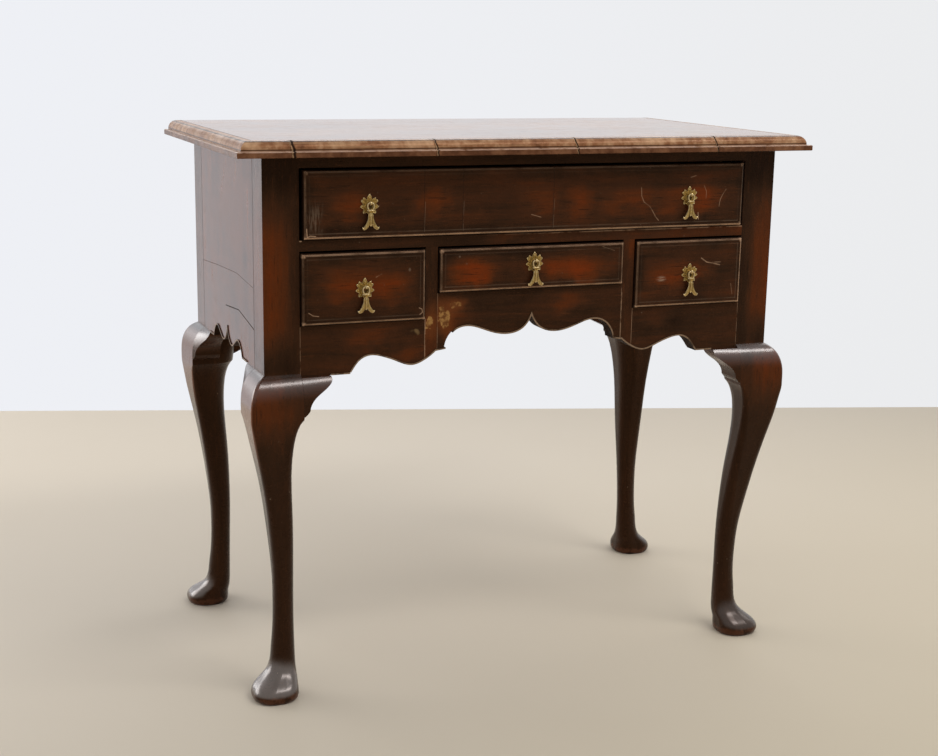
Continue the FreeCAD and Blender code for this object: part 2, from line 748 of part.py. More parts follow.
def shank_hole(x, z):
    radius = shank_radius + shank_hole_gap
    front = field_face - plate_thickness - cut_margin
    return rod_y(x, z + axis_above_eye, radius, front, front_face_back + cut_margin)


def backplate(x, z):
    """A cast plate of six petals round a core, with nail holes and the cotter's hole."""
    front = field_face - plate_thickness
    petals = [rod_y(x + across, z + up, petal_radius, front, field_face) for across, up in petal_places]
    plate = join([rod_y(x, z, plate_core_radius, front, field_face)] + petals)
    holes = [rod_y(x + across, z + up, petal_hole_radius, front - cut_margin, field_face + cut_margin)
             for across, up in petal_holes]
    return plate.cut(holes + [shank_hole(x, z)])


def cotter(x, z):
    """A bent strip: an eye round the drop's bar, a shank through plate and board, and two spread tails."""
    axis = z + axis_above_eye
    half = cotter_width / 2
    inner = bar_radius + bar_gap
    eye = rod_x(x - half, x + half, pull_axis_y, axis, inner + cotter_wall)
    shank = rod_y(x, axis, shank_radius, pull_axis_y, front_face_back + cotter_tail_thickness / 2)
    tails_strip = box(x - half, x + half, front_face_back, front_face_back + cotter_tail_thickness,
                      axis - cotter_tail_length, axis + cotter_tail_length)
    bore = rod_x(x - half - cut_margin, x + half + cut_margin, pull_axis_y, axis, inner)
    return join([eye, shank, tails_strip]).cut(bore)


def drop(x, z):
    """A split-tail drop that hangs by a bar in the cotter's eye."""
    axis = z + axis_above_eye
    inner = eye_inner_width / 2
    outer = inner + eye_wall
    eye_foot = axis - bar_radius - eye_inner_height
    pieces = [rod_x(x - outer, x + outer, pull_axis_y, axis, bar_radius)]
    for side in (-1, 1):
        near, far = x + side * inner, x + side * outer
        pieces.append(rod_x(min(near, far), max(near, far), pull_axis_y, axis, bar_radius + drop_rounding))
        pieces.append(box(near, far, pull_axis_y - bar_radius, pull_axis_y + bar_radius,
                          eye_foot - collar_height / 2, axis))
    collar_foot = eye_foot - collar_height
    collar = box(x - collar_half_width, x + collar_half_width, pull_axis_y - collar_half_depth,
                 pull_axis_y + collar_half_depth, collar_foot, eye_foot)
    pieces.append(collar.makeFillet(drop_rounding, collar.Edges))
    neck_foot = collar_foot - neck_height
    pieces.append(Part.makeCylinder(neck_radius, neck_height + collar_height / 2,
                                    Vector(x, pull_axis_y, neck_foot - drop_rounding)))

    back = pull_axis_y - drop_half_depth

    def place(points, side):
        return [Vector(x + side * across, back, neck_foot + up) for across, up in points]
    edges = []
    for side in (-1, 1):
        flank, foot, cleft = place(drop_outline, side), place(drop_foot, side), place(drop_cleft, side)
        edges += [curve(flank), curve(foot), Part.LineSegment(foot[-1], cleft[0]).toShape(),
                  Part.LineSegment(cleft[0], cleft[1]).toShape()]
    crown_left, crown_right = place(drop_outline[:1], -1)[0], place(drop_outline[:1], 1)[0]
    edges.append(Part.LineSegment(crown_left, crown_right).toShape())
    body = Part.Face(Part.Wire(Part.__sortEdges__(edges))).extrude(Vector(0, 2 * drop_half_depth, 0))
    pieces.append(body)
    return join(pieces)


def save_drawers_and_drops():
    long_middle = (long_opening_floor + front_bottom_gap + long_opening_top - front_top_gap) / 2
    side_middle = (side_opening_floor + front_bottom_gap + short_opening_top - front_top_gap) / 2
    centre_middle = (centre_opening_floor + front_bottom_gap + short_opening_top - front_top_gap) / 2
    long_z = long_middle + long_pull_lift
    side_z = side_middle + side_pull_lift
    centre_z = centre_middle + centre_pull_lift
    drawer("long_drawer", (-post_inner, post_inner, long_opening_floor, long_opening_top),
           long_drawer_side_gap, deep_drawer_tail_count, [(-long_pull_x, long_z), (long_pull_x, long_z)])
    drawer("left_drawer", (-post_inner, -muntin_outer, side_opening_floor, short_opening_top),
           short_drawer_side_gap, deep_drawer_tail_count, [(-side_pull_x, side_z)])
    drawer("centre_drawer", (-muntin_inner, muntin_inner, centre_opening_floor, short_opening_top),
           short_drawer_side_gap, shallow_drawer_tail_count, [(0.0, centre_z)])
    drawer("right_drawer", (muntin_outer, post_inner, side_opening_floor, short_opening_top),
           short_drawer_side_gap, deep_drawer_tail_count, [(side_pull_x, side_z)])
    save("long_drawer_left_drop", [drop(-long_pull_x, long_z)])
    save("long_drawer_right_drop", [drop(long_pull_x, long_z)])
    save("left_drawer_drop", [drop(-side_pull_x, side_z)])
    save("centre_drawer_drop", [drop(0.0, centre_z)])
    save("right_drawer_drop", [drop(side_pull_x, side_z)])


def main():
    os.makedirs("parts", exist_ok=True)
    boards, front_corner, back_corner = case_boards()
    for name, shape in boards.items():
        save(name, [shape])
    save_legs(front_corner, back_corner)
    save_knee_blocks()
    save_cockbeads()
    save_top()
    save_inside()
    save_drawers_and_drops()


main()
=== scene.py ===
import json
import math

import bmesh
import bpy
from mathutils import Matrix, Vector

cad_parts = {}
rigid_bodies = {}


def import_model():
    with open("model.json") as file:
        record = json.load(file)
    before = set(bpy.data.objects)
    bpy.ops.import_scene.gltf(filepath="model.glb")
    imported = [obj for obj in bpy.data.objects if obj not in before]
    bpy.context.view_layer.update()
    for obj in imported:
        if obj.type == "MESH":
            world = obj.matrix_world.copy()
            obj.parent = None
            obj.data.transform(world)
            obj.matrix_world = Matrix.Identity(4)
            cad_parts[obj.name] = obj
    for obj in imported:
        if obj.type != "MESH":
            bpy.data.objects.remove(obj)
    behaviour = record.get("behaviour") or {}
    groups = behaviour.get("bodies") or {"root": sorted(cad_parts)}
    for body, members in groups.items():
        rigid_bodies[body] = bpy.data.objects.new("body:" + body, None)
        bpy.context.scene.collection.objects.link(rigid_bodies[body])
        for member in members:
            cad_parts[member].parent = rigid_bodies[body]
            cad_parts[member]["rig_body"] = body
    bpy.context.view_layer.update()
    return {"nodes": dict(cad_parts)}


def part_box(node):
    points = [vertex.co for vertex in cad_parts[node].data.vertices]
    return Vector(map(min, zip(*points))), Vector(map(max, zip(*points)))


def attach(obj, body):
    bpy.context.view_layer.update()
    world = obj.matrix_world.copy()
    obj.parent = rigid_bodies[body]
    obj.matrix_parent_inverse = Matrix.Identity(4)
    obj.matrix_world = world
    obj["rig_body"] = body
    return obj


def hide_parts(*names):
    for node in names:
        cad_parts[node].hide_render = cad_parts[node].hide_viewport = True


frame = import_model()
nodes = frame["nodes"]


# ---- camera and stage

# The photo's camera, solved from the lowboy's verticals, the edges of its top and its feet
PICTURE_WIDTH, PICTURE_HEIGHT = 938.0, 756.0
FOCAL_PIXELS = 1528.93
SENSOR_WIDTH = 36.0
CAMERA_AT = Vector((-0.8292, -2.0222, 0.8601))
YAW, PITCH, ROLL = 0.38456, 0.22174, -0.01683


def new_object(name, data):
    made = bpy.data.objects.new(name, data)
    bpy.context.scene.collection.objects.link(made)
    return made


def new_mesh(name, points, faces, material):
    mesh = bpy.data.meshes.new(name)
    mesh.from_pydata(points, [], faces)
    mesh.materials.append(material)
    return mesh


def camera_axes():
    """The directions right and down in the picture, and forward into it."""
    level = math.cos(PITCH)
    forward = Vector((math.sin(YAW) * level, math.cos(YAW) * level, -math.sin(PITCH)))
    right = Vector((math.cos(YAW), -math.sin(YAW), 0.0))
    down = forward.cross(right)
    turned_right = right * math.cos(ROLL) + down * math.sin(ROLL)
    turned_down = down * math.cos(ROLL) - right * math.sin(ROLL)
    return turned_right, turned_down, forward


def make_camera():
    right, down, forward = camera_axes()
    data = bpy.data.cameras.new("camera")
    data.lens = FOCAL_PIXELS * SENSOR_WIDTH / PICTURE_WIDTH
    data.sensor_width = SENSOR_WIDTH
    data.clip_start = 0.05
    data.clip_end = 100.0
    camera = new_object("camera", data)
    turn = Matrix((right, -down, -forward)).transposed().to_4x4()
    camera.matrix_world = Matrix.Translation(CAMERA_AT) @ turn
    bpy.context.scene.camera = camera


def floor_point(px, py):
    """The place on the floor behind a pixel of the picture."""
    right, down, forward = camera_axes()
    ray = forward * FOCAL_PIXELS + right * (px - PICTURE_WIDTH / 2) + down * (py - PICTURE_HEIGHT / 2)
    return CAMERA_AT - ray * (CAMERA_AT.z / ray.z)


# ---- node helpers

# A Mix node's colour sockets: two inputs and an output
MIX_A, MIX_B, MIX_RESULT = 6, 7, 2


class Shader:
    """A material under construction. Its methods return output sockets, and take sockets, numbers or colours
    of 0-255 display values."""

    def __init__(self, name):
        self.material = bpy.data.materials.new(name)
        self.material.use_nodes = True
        self.tree = self.material.node_tree
        self.tree.nodes.clear()
        self.output = self.tree.nodes.new("ShaderNodeOutputMaterial")
        self.place = self.node("ShaderNodeTexCoord").outputs["Object"]
        self.x, self.y, self.z = self.node("ShaderNodeSeparateXYZ", Vector=self.place).outputs

    def node(self, kind, **inputs):
        """A new node with the given inputs. Their names have _ in place of a space."""
        node = self.tree.nodes.new(kind)
        for name, source in inputs.items():
            self.link(source, node.inputs[name.replace("_", " ")])
        return node

    def link(self, source, target):
        if isinstance(source, tuple):
            target.default_value = srgb(source)
        elif isinstance(source, (int, float)):
            target.default_value = source
        else:
            self.tree.links.new(source, target)

    def math(self, operation, a, b=0.0, clamp=False):
        node = self.node("ShaderNodeMath")
        node.operation = operation
        node.use_clamp = clamp
        self.link(a, node.inputs[0])
        self.link(b, node.inputs[1])
        return node.outputs[0]

    def add(self, a, b):
        return self.math("ADD", a, b)

    def sub(self, a, b):
        return self.math("SUBTRACT", a, b)

    def mul(self, first, *others):
        for other in others:
            first = self.math("MULTIPLY", first, other)
        return first

    def low(self, a, b):
        return self.math("MINIMUM", a, b)

    def high(self, a, b):
        return self.math("MAXIMUM", a, b)

    def size(self, a):
        return self.math("ABSOLUTE", a)

    def vec(self, x, y, z):
        return self.node("ShaderNodeCombineXYZ", X=x, Y=y, Z=z).outputs[0]

    def stretch(self, x, y, z, shift=0.0):
        """The object's place with each direction scaled."""
        return self.vec(self.add(self.mul(self.x, x), shift), self.add(self.mul(self.y, y), shift * 0.7),
                        self.mul(self.z, z))

    def stir(self, value, pattern, share):
        """The value moved up and down by a pattern that runs about 0.5."""
        return self.add(value, self.mul(self.sub(pattern, 0.5), share))

    def noise(self, vector, scale, detail=4.0, rough=0.55, bend=0.0):
        return self.node("ShaderNodeTexNoise", Vector=vector, Scale=scale, Detail=detail, Roughness=rough,
                         Distortion=bend).outputs["Fac"]

    def fade(self, value, start, end, low=0.0, high=1.0):
        """A smooth step of the value from low at start to high at end."""
        node = self.node("ShaderNodeMapRange", Value=value, From_Min=start, From_Max=end, To_Min=low,
                         To_Max=high)
        node.interpolation_type = "SMOOTHSTEP"
        return node.outputs["Result"]

    def band(self, value, start, full, full_end, end):
        """1 where the value lies between full and full_end, with soft ends."""
        return self.low(self.fade(value, start, full), self.fade(value, end, full_end))

    def mix(self, amount, a, b):
        """Colour a, with b laid over it by the amount."""
        node = self.node("ShaderNodeMix", Factor=amount)
        node.data_type = "RGBA"
        self.link(a, node.inputs[MIX_A])
        self.link(b, node.inputs[MIX_B])
        return node.outputs[MIX_RESULT]

    def lay(self, colour, tone, *amounts):
        """A tone laid over a colour, by the product of the amounts."""
        return self.mix(self.mul(*amounts), colour, tone)

    def ramp(self, value, stops):
        """A colour from a row of (place, colour) stops."""
        node = self.node("ShaderNodeValToRGB", Fac=value)
        marks = node.color_ramp.elements
        while len(marks) < len(stops):
            marks.new(0.5)
        for mark, (place, colour) in zip(marks, stops):
            mark.position = place
            mark.color = srgb(colour)
        return node.outputs[0]

    def bump(self, height, distance, strength):
        return self.node("ShaderNodeBump", Strength=strength, Distance=distance, Height=height).outputs[0]

    def segment(self, u, v, start, end):
        """How far a place (u, v) is from the straight line between two points, in metres."""
        span_u, span_v = end[0] - start[0], end[1] - start[1]
        long = span_u * span_u + span_v * span_v
        off_u, off_v = self.sub(u, start[0]), self.sub(v, start[1])
        along = self.add(self.mul(off_u, span_u), self.mul(off_v, span_v))
        along = self.math("MULTIPLY", along, 1 / long, clamp=True)
        rest_u = self.sub(off_u, self.mul(along, span_u))
        rest_v = self.sub(off_v, self.mul(along, span_v))
        return self.math("SQRT", self.add(self.mul(rest_u, rest_u), self.mul(rest_v, rest_v)))

    def path(self, u, v, points):
        """How far a place is from a line through several points."""
        nearest = self.segment(u, v, points[0], points[1])
        for start, end in zip(points[1:], points[2:]):
            nearest = self.low(nearest, self.segment(u, v, start, end))
        return nearest

    def blob(self, u, v, centre, half_u, half_v, softness=1.0):
        """1 in the middle of an oval, 0 outside it."""
        du = self.mul(self.sub(u, centre[0]), 1 / half_u)
        dv = self.mul(self.sub(v, centre[1]), 1 / half_v)
        away = self.math("SQRT", self.add(self.mul(du, du), self.mul(dv, dv)))
        return self.fade(away, 1.0, 1.0 - softness)

    def facing(self):
        """How much the surface faces along x, y and z."""
        normal = self.node("ShaderNodeTexCoord").outputs["Normal"]
        return self.node("ShaderNodeSeparateXYZ", Vector=normal).outputs

    def surface(self, colour, rough, normal, metal=0.0, coat=0.0, specular=0.5, tint=(255, 255, 255),
                coat_ior=1.5):
        node = self.node("ShaderNodeBsdfPrincipled", Base_Color=colour, Roughness=rough, Normal=normal,
                         Metallic=metal, Specular_IOR_Level=specular, Specular_Tint=tint, Coat_Weight=coat,
                         Coat_Roughness=0.24, Coat_IOR=coat_ior)
        self.link(node.outputs[0], self.output.inputs["Surface"])
        return self.material


def srgb(colour):
    """A colour of 0-255 display values as the linear colour that nodes take."""
    linear = []
    for value in colour:
        share = value / 255.0
        linear.append(share / 12.92 if share <= 0.04045 else ((share + 0.055) / 1.055) ** 2.4)
    return (*linear, 1.0)


# ---- wood

# Walnut under old varnish, from the grime of the borders to the rubbed red middles, then bare wood and dust.
# The darkest tone also serves as painted shade in gaps and on undersides.
GRIME_AND_SHADE = (22, 14, 10)
DARK = (44, 28, 18)
BROWN = (64, 36, 21)
WARM = (88, 42, 18)
RED = (116, 46, 13)
WORN = (184, 148, 118)
DUST = (128, 108, 90)
# In metres: the depth of the grain's bump and the width of the pale line along a joint
WOOD_RELIEF = 0.00035
JOINT_LINE = 0.0007


class Wood(Shader):
    """Walnut with its grain along one direction, streaks, pores and specks. The patterns' scales are per
    metre, and far finer across the grain."""

    def __init__(self, name, grain, seed):
        super().__init__(name)
        scales = [5.0 if axis == grain else 95.0 for axis in "xyz"]
        drifts = [0.6 if axis == grain else 5.0 for axis in "xyz"]
        wander = self.noise(self.place, 3.2, 2.0)
        bent = self.vec(*[self.add(self.mul(value, scale), self.add(self.mul(wander, shift), seed * 3.7))
                          for value, scale, shift in zip((self.x, self.y, self.z), scales, drifts)])
        self.streak = self.noise(bent, 1.0, 5.0, 0.6)
        broad = self.stretch(*[value * 0.16 + 2.0 for value in scales], shift=seed)
        self.figure = self.noise(broad, 1.0, 3.0, 0.6, 0.6)
        self.fine = self.noise(bent, 6.0, 3.0, 0.7)
        self.blotch = self.even_noise(seed * 1.3, 17.0, 4.0, 0.6)
        self.mottle = self.even_noise(seed * 0.4, 60.0, 3.0, 0.6)
        pore = self.noise(self.stretch(*[value * 7.0 for value in scales]), 1.0, 1.0, 0.5)
        self.pores = self.fade(pore, 0.62, 0.72)
        self.wear = self.even_noise(seed * 2.1, 140.0, 4.0, 0.65)
        self.specks = self.fade(self.even_noise(seed * 3.3, 210.0, 2.0, 0.5), 0.76, 0.80)
        sway = self.even_noise(seed * 0.9, 26.0, 3.0, 0.6)
        self.swayed = [self.stir(value, pattern, 0.045)
                       for value, pattern in zip((self.x, self.y, self.z), (sway, sway, self.blotch))]
        self.dark = 0.0

    def split(self, where):
        """Makes the surface dark and deep where the value is 1."""
        self.dark = self.high(self.dark, where)

    def even_noise(self, shift, scale, detail, rough):
        """Noise that runs no further along the grain than across it."""
        return self.noise(self.stretch(1, 1, 1, shift), scale, detail, rough)

    def runs(self):
        """Streaks that run up and down a side, whatever the grain."""
        return self.noise(self.vec(0.0, self.mul(self.y, 46.0), self.mul(self.z, 5.0)), 1.0, 4.0, 0.6)

    def blend(self, streak, blotch, figure=0.0):
        """A tone from shares of the wood's own patterns."""
        tone = self.add(self.mul(self.streak, streak), self.mul(self.blotch, blotch))
        return self.add(tone, self.mul(self.figure, figure)) if figure else tone

    def glows(self, ovals):
        """Rubbed places on a front as (x, z, half width, half height, strength), with wandering edges."""
        u, _, v = self.swayed
        total = 0.0
        for middle_u, middle_v, half_u, half_v, strength in ovals:
            rubbed = self.blob(u, v, (middle_u, middle_v), half_u, half_v)
            total = self.add(total, self.mul(rubbed, strength))
        return total

    def walnut(self, tone, flow=1.0):
        """Colour from grime at 0 to rubbed red at 1, moved about by the grain."""
        for pattern, share in ((self.streak, 0.62), (self.figure, 0.62), (self.blotch, 0.45)):
            tone = self.stir(tone, pattern, share * flow)
        colour = self.ramp(tone, [(0.0, GRIME_AND_SHADE), (0.22, DARK), (0.45, BROWN), (0.68, WARM), (0.95, RED)])
        colour = self.lay(colour, GRIME_AND_SHADE, self.pores, 0.55)
        colour = self.lay(colour, (120, 68, 38), self.fade(self.fine, 0.55, 0.75), 0.22)
        return self.lay(colour, DUST, self.specks, 0.45)

    def height(self):
        """Height of the surface: grain, pores and any splits."""
        height = self.sub(self.mul(self.streak, 0.35), self.mul(self.pores, 0.5))
        height = self.add(height, self.mul(self.blotch, 0.6))
        return self.sub(height, self.mul(self.dark, 2.5))

    def finish(self, colour, rough=0.28, tint=(186, 132, 96), relief=0.5, **gloss):
        """Old varnish: a sheen tinted by the wood where it is seen square on, white at a glance."""
        normal = self.bump(self.height(), WOOD_RELIEF, relief)
        shine = self.mul(rough, self.fade(self.mottle, 0.25, 0.75, 0.80, 1.20))
        return self.surface(colour, shine, normal, tint=tint, **gloss)


def give(name, *materials):
    """Puts materials on a CAD node: the first on its faces, the second on the edges that its bevel makes."""
    slots = nodes[name].data.materials
    slots.clear()
    for material in materials:
        slots.append(material)
    for polygon in nodes[name].data.polygons:
        polygon.material_index = 0


def soften(name, width, segments=2, edge_material=False, angle=35.0):
    """Takes the knife edge off a board: a bevel on edges sharper than the angle in degrees."""
    bevel = nodes[name].modifiers.new("soft edges", "BEVEL")
    bevel.width = width
    bevel.segments = segments
    bevel.limit_method = "ANGLE"
    bevel.angle_limit = math.radians(angle)
    if edge_material:
        bevel.material = 1


def edge_wood(name, tone, base, seed):
    """The rubbed edge of a board: mostly bare wood, with varnish left in places."""
    wood = Wood(name, "x", seed)
    bare = wood.fade(wood.noise(wood.place, 120.0, 4.0, 0.6), 0.40, 0.62)
    return wood.finish(wood.mix(bare, base, tone), rough=0.42)


def line(wood, colour, points, width, tone, amount, broken=0.0, across=None):
    """Draws a fine line through points (x, z), or (across, z). Gives the colour and where the line is."""
    away = wood.path(across or wood.x, wood.z, points)
    on = wood.fade(away, width, width * 0.35)
    if broken:
        on = wood.mul(on, wood.fade(wood.mottle, 0.5 - broken, 0.5 + broken * 0.4))
    return wood.lay(colour, tone, on, amount), on


def scratches(wood, colour, rows):
    """Draws lines of bare wood, each given as its width, its strength, how broken it is and its points."""
    for width, amount, broken, points in rows:
        colour, _ = line(wood, colour, points, width, WORN, amount, broken=broken)
    return colour


def fleck(wood, colour, x, z, half_width, half_height, softness, amount, tone):
    """A small knock on a front."""
    on = wood.blob(wood.x, wood.z, (x, z), half_width, half_height, softness)
    return wood.lay(colour, tone, on, amount)


def upright_edge(wood, colour, place, low, high, amount, tone=WORN):
    """The pale line where two boards meet along an upright joint at x, from low to high: worn wood, partly a
    painted highlight in place of an unbevelled edge.
    """
    away = wood.size(wood.sub(wood.x, place))
    within = wood.band(wood.z, low, low + 0.002, high - 0.002, high)
    thin = wood.mul(wood.fade(away, JOINT_LINE, JOINT_LINE * 0.3), wood.fade(wood.mottle, 0.36, 0.52))
    return wood.lay(colour, tone, thin, within, amount)


# ---- drawer fronts

# Where hands and cloths have rubbed the fronts: x, z, half width, half height and strength
LONG_GLOWS = [(-0.250, 0.645, 0.052, 0.032, 0.44), (-0.143, 0.648, 0.044, 0.030, 0.46),
              (-0.095, 0.640, 0.034, 0.022, 0.14), (0.010, 0.648, 0.040, 0.024, 0.26),
              (0.064, 0.648, 0.030, 0.028, 0.36), (0.142, 0.646, 0.050, 0.030, 0.34),
              (0.200, 0.640, 0.034, 0.032, 0.26), (0.248, 0.648, 0.052, 0.040, 0.50)]
LEFT_GLOWS = [(-0.268, 0.546, 0.044, 0.032, 0.42), (-0.234, 0.548, 0.034, 0.040, 0.26),
              (-0.200, 0.544, 0.038, 0.032, 0.38), (-0.236, 0.560, 0.090, 0.040, 0.12)]
CENTRE_GLOWS = [(-0.085, 0.558, 0.046, 0.032, 0.66), (-0.030, 0.562, 0.040, 0.022, 0.22),
                (0.014, 0.562, 0.034, 0.028, 0.34), (0.060, 0.558, 0.058, 0.032, 0.48)]
RIGHT_GLOWS = [(0.193, 0.543, 0.040, 0.030, 0.42), (0.228, 0.542, 0.036, 0.036, 0.40),
               (0.254, 0.540, 0.032, 0.020, 0.42)]


def drawer_material(node, seed, ovals, rubbed, marks):
    """A drawer front: dark borders, rubbed red places, bare arrises and painted shade on the sides that face
    the gap. Rubbed is the share of bare wood on the left, right, top and bottom arris."""
    wood = Wood("walnut_" + node, "x", seed)
    low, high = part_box(node)
    left, right = wood.sub(wood.x, low.x), wood.sub(high.x, wood.x)
    top, bottom = wood.sub(high.z, wood.z), wood.sub(wood.z, low.z)
    inward = wood.low(wood.low(left, right), wood.low(top, bottom))
    border = wood.fade(wood.stir(inward, wood.blotch, 0.030), 0.003, 0.016, 0.55, 1.0)
    colour = wood.walnut(wood.mul(border, wood.add(wood.glows(ovals), 0.33)))
    front = wood.fade(wood.y, low.y + 0.0040, low.y + 0.0030)
    patchy = wood.fade(wood.even_noise(seed, 34.0, 3.0, 0.6), 0.34, 0.56, 0.40, 1.0)
    for away, share in zip((left, right, top, bottom), rubbed):
        arris = wood.mul(wood.band(away, 0.0008, 0.0018, 0.0029, 0.0038), front,
                         wood.fade(inward, 0.0004, 0.0014))
        seen = wood.high(patchy, 0.7) if away is bottom else patchy
        colour = wood.lay(colour, WORN, arris, seen, share)
        inner = wood.mul(wood.band(away, 0.0064, 0.0072, 0.0078, 0.0086), front,
                         wood.fade(inward, 0.0060, 0.0070))
        colour = wood.lay(colour, DUST, inner, patchy, 0.26 * share)
    corners = wood.mul(wood.fade(wood.low(left, right), 0.0065, 0.0035),
                       wood.fade(wood.low(top, bottom), 0.0065, 0.0035))
    corners = wood.mul(corners, front, wood.fade(wood.wear, 0.46, 0.60))
    colour = wood.lay(colour, WORN, corners, 0.75)
    # Painted shade: the outer 1.2 mm of the front, its sides in the gap round the drawer, laid near-black.
    colour = wood.lay(colour, GRIME_AND_SHADE, wood.fade(inward, 0.0012, 0.0002), 0.7)
    return wood.finish(marks(wood, colour), rough=wood.fade(inward, 0.0014, 0.0004, 0.28, 0.65))


def long_drawer_marks(wood, colour):
    for place in (-0.156, -0.103, 0.025):
        split = [(place, 0.612), (place + 0.001, 0.692)]
        lip = [(place + 0.001, 0.612), (place + 0.002, 0.650)]
        colour, seam = line(wood, colour, split, 0.0006, GRIME_AND_SHADE, 0.6)
        colour, _ = line(wood, colour, lip, 0.0005, DUST, 0.4, broken=0.1)
        wood.split(wood.mul(seam, 0.3))
    colour = scratches(wood, colour, (
        (0.0007, 0.50, 0.2, [(0.1552, 0.6614), (0.1562, 0.6500), (0.1600, 0.6420), (0.1690, 0.6360),
                             (0.1740, 0.6290), (0.1785, 0.6215), (0.1832, 0.6167)]),
        (0.0007, 0.50, 0.2, [(0.2867, 0.6568), (0.2820, 0.6500), (0.2781, 0.6427), (0.2768, 0.6337)]),
        (0.0008, 0.75, 0.0, [(0.2442, 0.6257), (0.2451, 0.6167)]),
        (0.0006, 0.40, 0.2, [(0.2520, 0.6620), (0.2560, 0.6540), (0.2555, 0.6450)]),
        (0.0007, 0.45, 0.0, [(0.2305, 0.6739), (0.2385, 0.6762)]),
        (0.0009, 0.75, 0.0, [(-0.3106, 0.6200), (-0.3098, 0.6095), (-0.3060, 0.6112), (-0.2990, 0.6105)]),
        (0.0006, 0.50, 0.2, [(-0.0060, 0.6300), (0.0080, 0.6260)])))
    dusty = wood.glows([(-0.300, 0.630, 0.013, 0.030, 0.8)])
    strokes = wood.noise(wood.stretch(420, 420, 60, 2.0), 1.0, 3.0, 0.6)
    scuffs = wood.mul(dusty, wood.fade(strokes, 0.42, 0.60))
    return wood.lay(colour, DUST, scuffs, 0.55)


def left_drawer_marks(wood, colour):
    colour = scratches(wood, colour, (
        (0.0007, 0.60, 0.0, [(-0.3086, 0.5142), (-0.3030, 0.5105), (-0.2957, 0.5093)]),
        (0.0007, 0.70, 0.0, [(-0.1613, 0.5137), (-0.1575, 0.5120), (-0.1567, 0.5077), (-0.1603, 0.5050)]),
        (0.0006, 0.50, 0.2, [(-0.2200, 0.5560), (-0.2120, 0.5600)])))
    return fleck(wood, colour, -0.1745, 0.5640, 0.0022, 0.0030, 0.6, 0.5, DUST)


def right_drawer_marks(wood, colour):
    # Painted highlight: a soft pale oval of reflection near the pull, broken into fine streaks.
    shine = wood.blob(wood.x, wood.z, (0.1912, 0.5360), 0.0100, 0.0052)
    highlight_streaks = wood.fade(wood.noise(wood.stretch(60, 60, 900), 1.0, 2.0), 0.42, 0.60)
    colour = wood.lay(colour, (190, 166, 140), shine, highlight_streaks, 0.9)
    return scratches(wood, colour, (
        (0.0010, 0.65, 0.3, [(0.2531, 0.5624), (0.2617, 0.5566), (0.2720, 0.5545), (0.2827, 0.5521)]),
        (0.0007, 0.55, 0.3, [(0.2700, 0.5560), (0.2840, 0.5560)]),
        (0.0006, 0.30, 0.2, [(0.3020, 0.5250), (0.3050, 0.5100)])))


def centre_drawer_marks(wood, colour):
    colour = scratches(wood, colour, ((0.0006, 0.30, 0.2, [(0.1000, 0.5840), (0.1180, 0.5780)]),))
    return fleck(wood, colour, -0.1060, 0.5780, 0.0018, 0.0018, 0.6, 0.5, DUST)


# ---- the case

# Where the front's upright joints show, to either side of the middle, and from which height
POST_JOINT = 0.3187
MUNTIN_OUTER = 0.1512
MUNTIN_INNER = 0.1340
JOINT_FOOT = 0.430


def bare_patch(wood, colour, middle, half_x, half_z, strength=0.9):
    """Varnish knocked off: a red halo, ragged honey-brown wood and dark streaks along the grain."""
    u, v = wood.swayed[0], wood.swayed[2]
    halo = wood.blob(u, v, middle, half_x * 2.3, half_z * 2.1)
    colour = wood.lay(colour, (116, 62, 30), halo, 0.7)
    ragged = wood.sub(wood.blob(u, v, middle, half_x * 1.3, half_z * 1.3), wood.mul(wood.wear, 0.9))
    bare = wood.mix(wood.fade(wood.wear, 0.40, 0.60), (172, 128, 74), (104, 64, 34))
    return wood.lay(colour, bare, wood.fade(ragged, 0.0, 0.12), strength)


def front_board(name, grain, seed, tone, ovals, marks=None, edge=None):
    """A board of the front frame: a tone, which may be a function of the wood, warmer in ovals, and marks,
    with painted shade on the faces that don't look to the front or back.
    """
    wood = Wood("walnut_" + name, grain, seed)
    base = tone(wood) if callable(tone) else tone
    colour = wood.walnut(wood.add(base, wood.glows(ovals)))
    if marks:
        colour = marks(wood, colour)
    # Painted shade: faces that don't look to the front or back, the undersides and edges in the gaps, are
    # laid near-black and made rougher.
    edge_faces_shade = wood.fade(wood.size(wood.facing()[1]), 0.75, 0.45)
    colour = wood.lay(colour, GRIME_AND_SHADE, edge_faces_shade, 0.85)
    board = wood.finish(colour, rough=wood.fade(edge_faces_shade, 0.0, 1.0, 0.28, 0.75))
    if edge:
        give(name, board, edge)
        soften(name, 0.0005, edge_material=True)
    else:
        give(name, board)


def apron_marks(wood, colour):
    for side in (-1, 1):
        colour = upright_edge(wood, colour, side * POST_JOINT, JOINT_FOOT, 0.497, 0.55)
        colour = upright_edge(wood, colour, side * MUNTIN_OUTER, JOINT_FOOT, 0.499, 0.55)
    return colour


def centre_apron_marks(wood, colour):
    for side in (-1, 1):
        colour = upright_edge(wood, colour, side * MUNTIN_INNER, JOINT_FOOT, 0.532, 0.45)
    colour = bare_patch(wood, colour, (-0.1250, 0.5000), 0.0115, 0.0165)
    return bare_patch(wood, colour, (-0.1120, 0.5160), 0.0080, 0.0075, 0.5)


def left_muntin_marks(wood, colour):
    colour = bare_patch(wood, colour, (-0.1425, 0.4920), 0.0100, 0.0165)
    return upright_edge(wood, colour, 0.0004 - MUNTIN_OUTER, JOINT_FOOT, 0.499, 0.5)


def right_muntin_marks(wood, colour):
    return upright_edge(wood, colour, 0.0005 + MUNTIN_INNER, JOINT_FOOT, 0.520, 0.5)


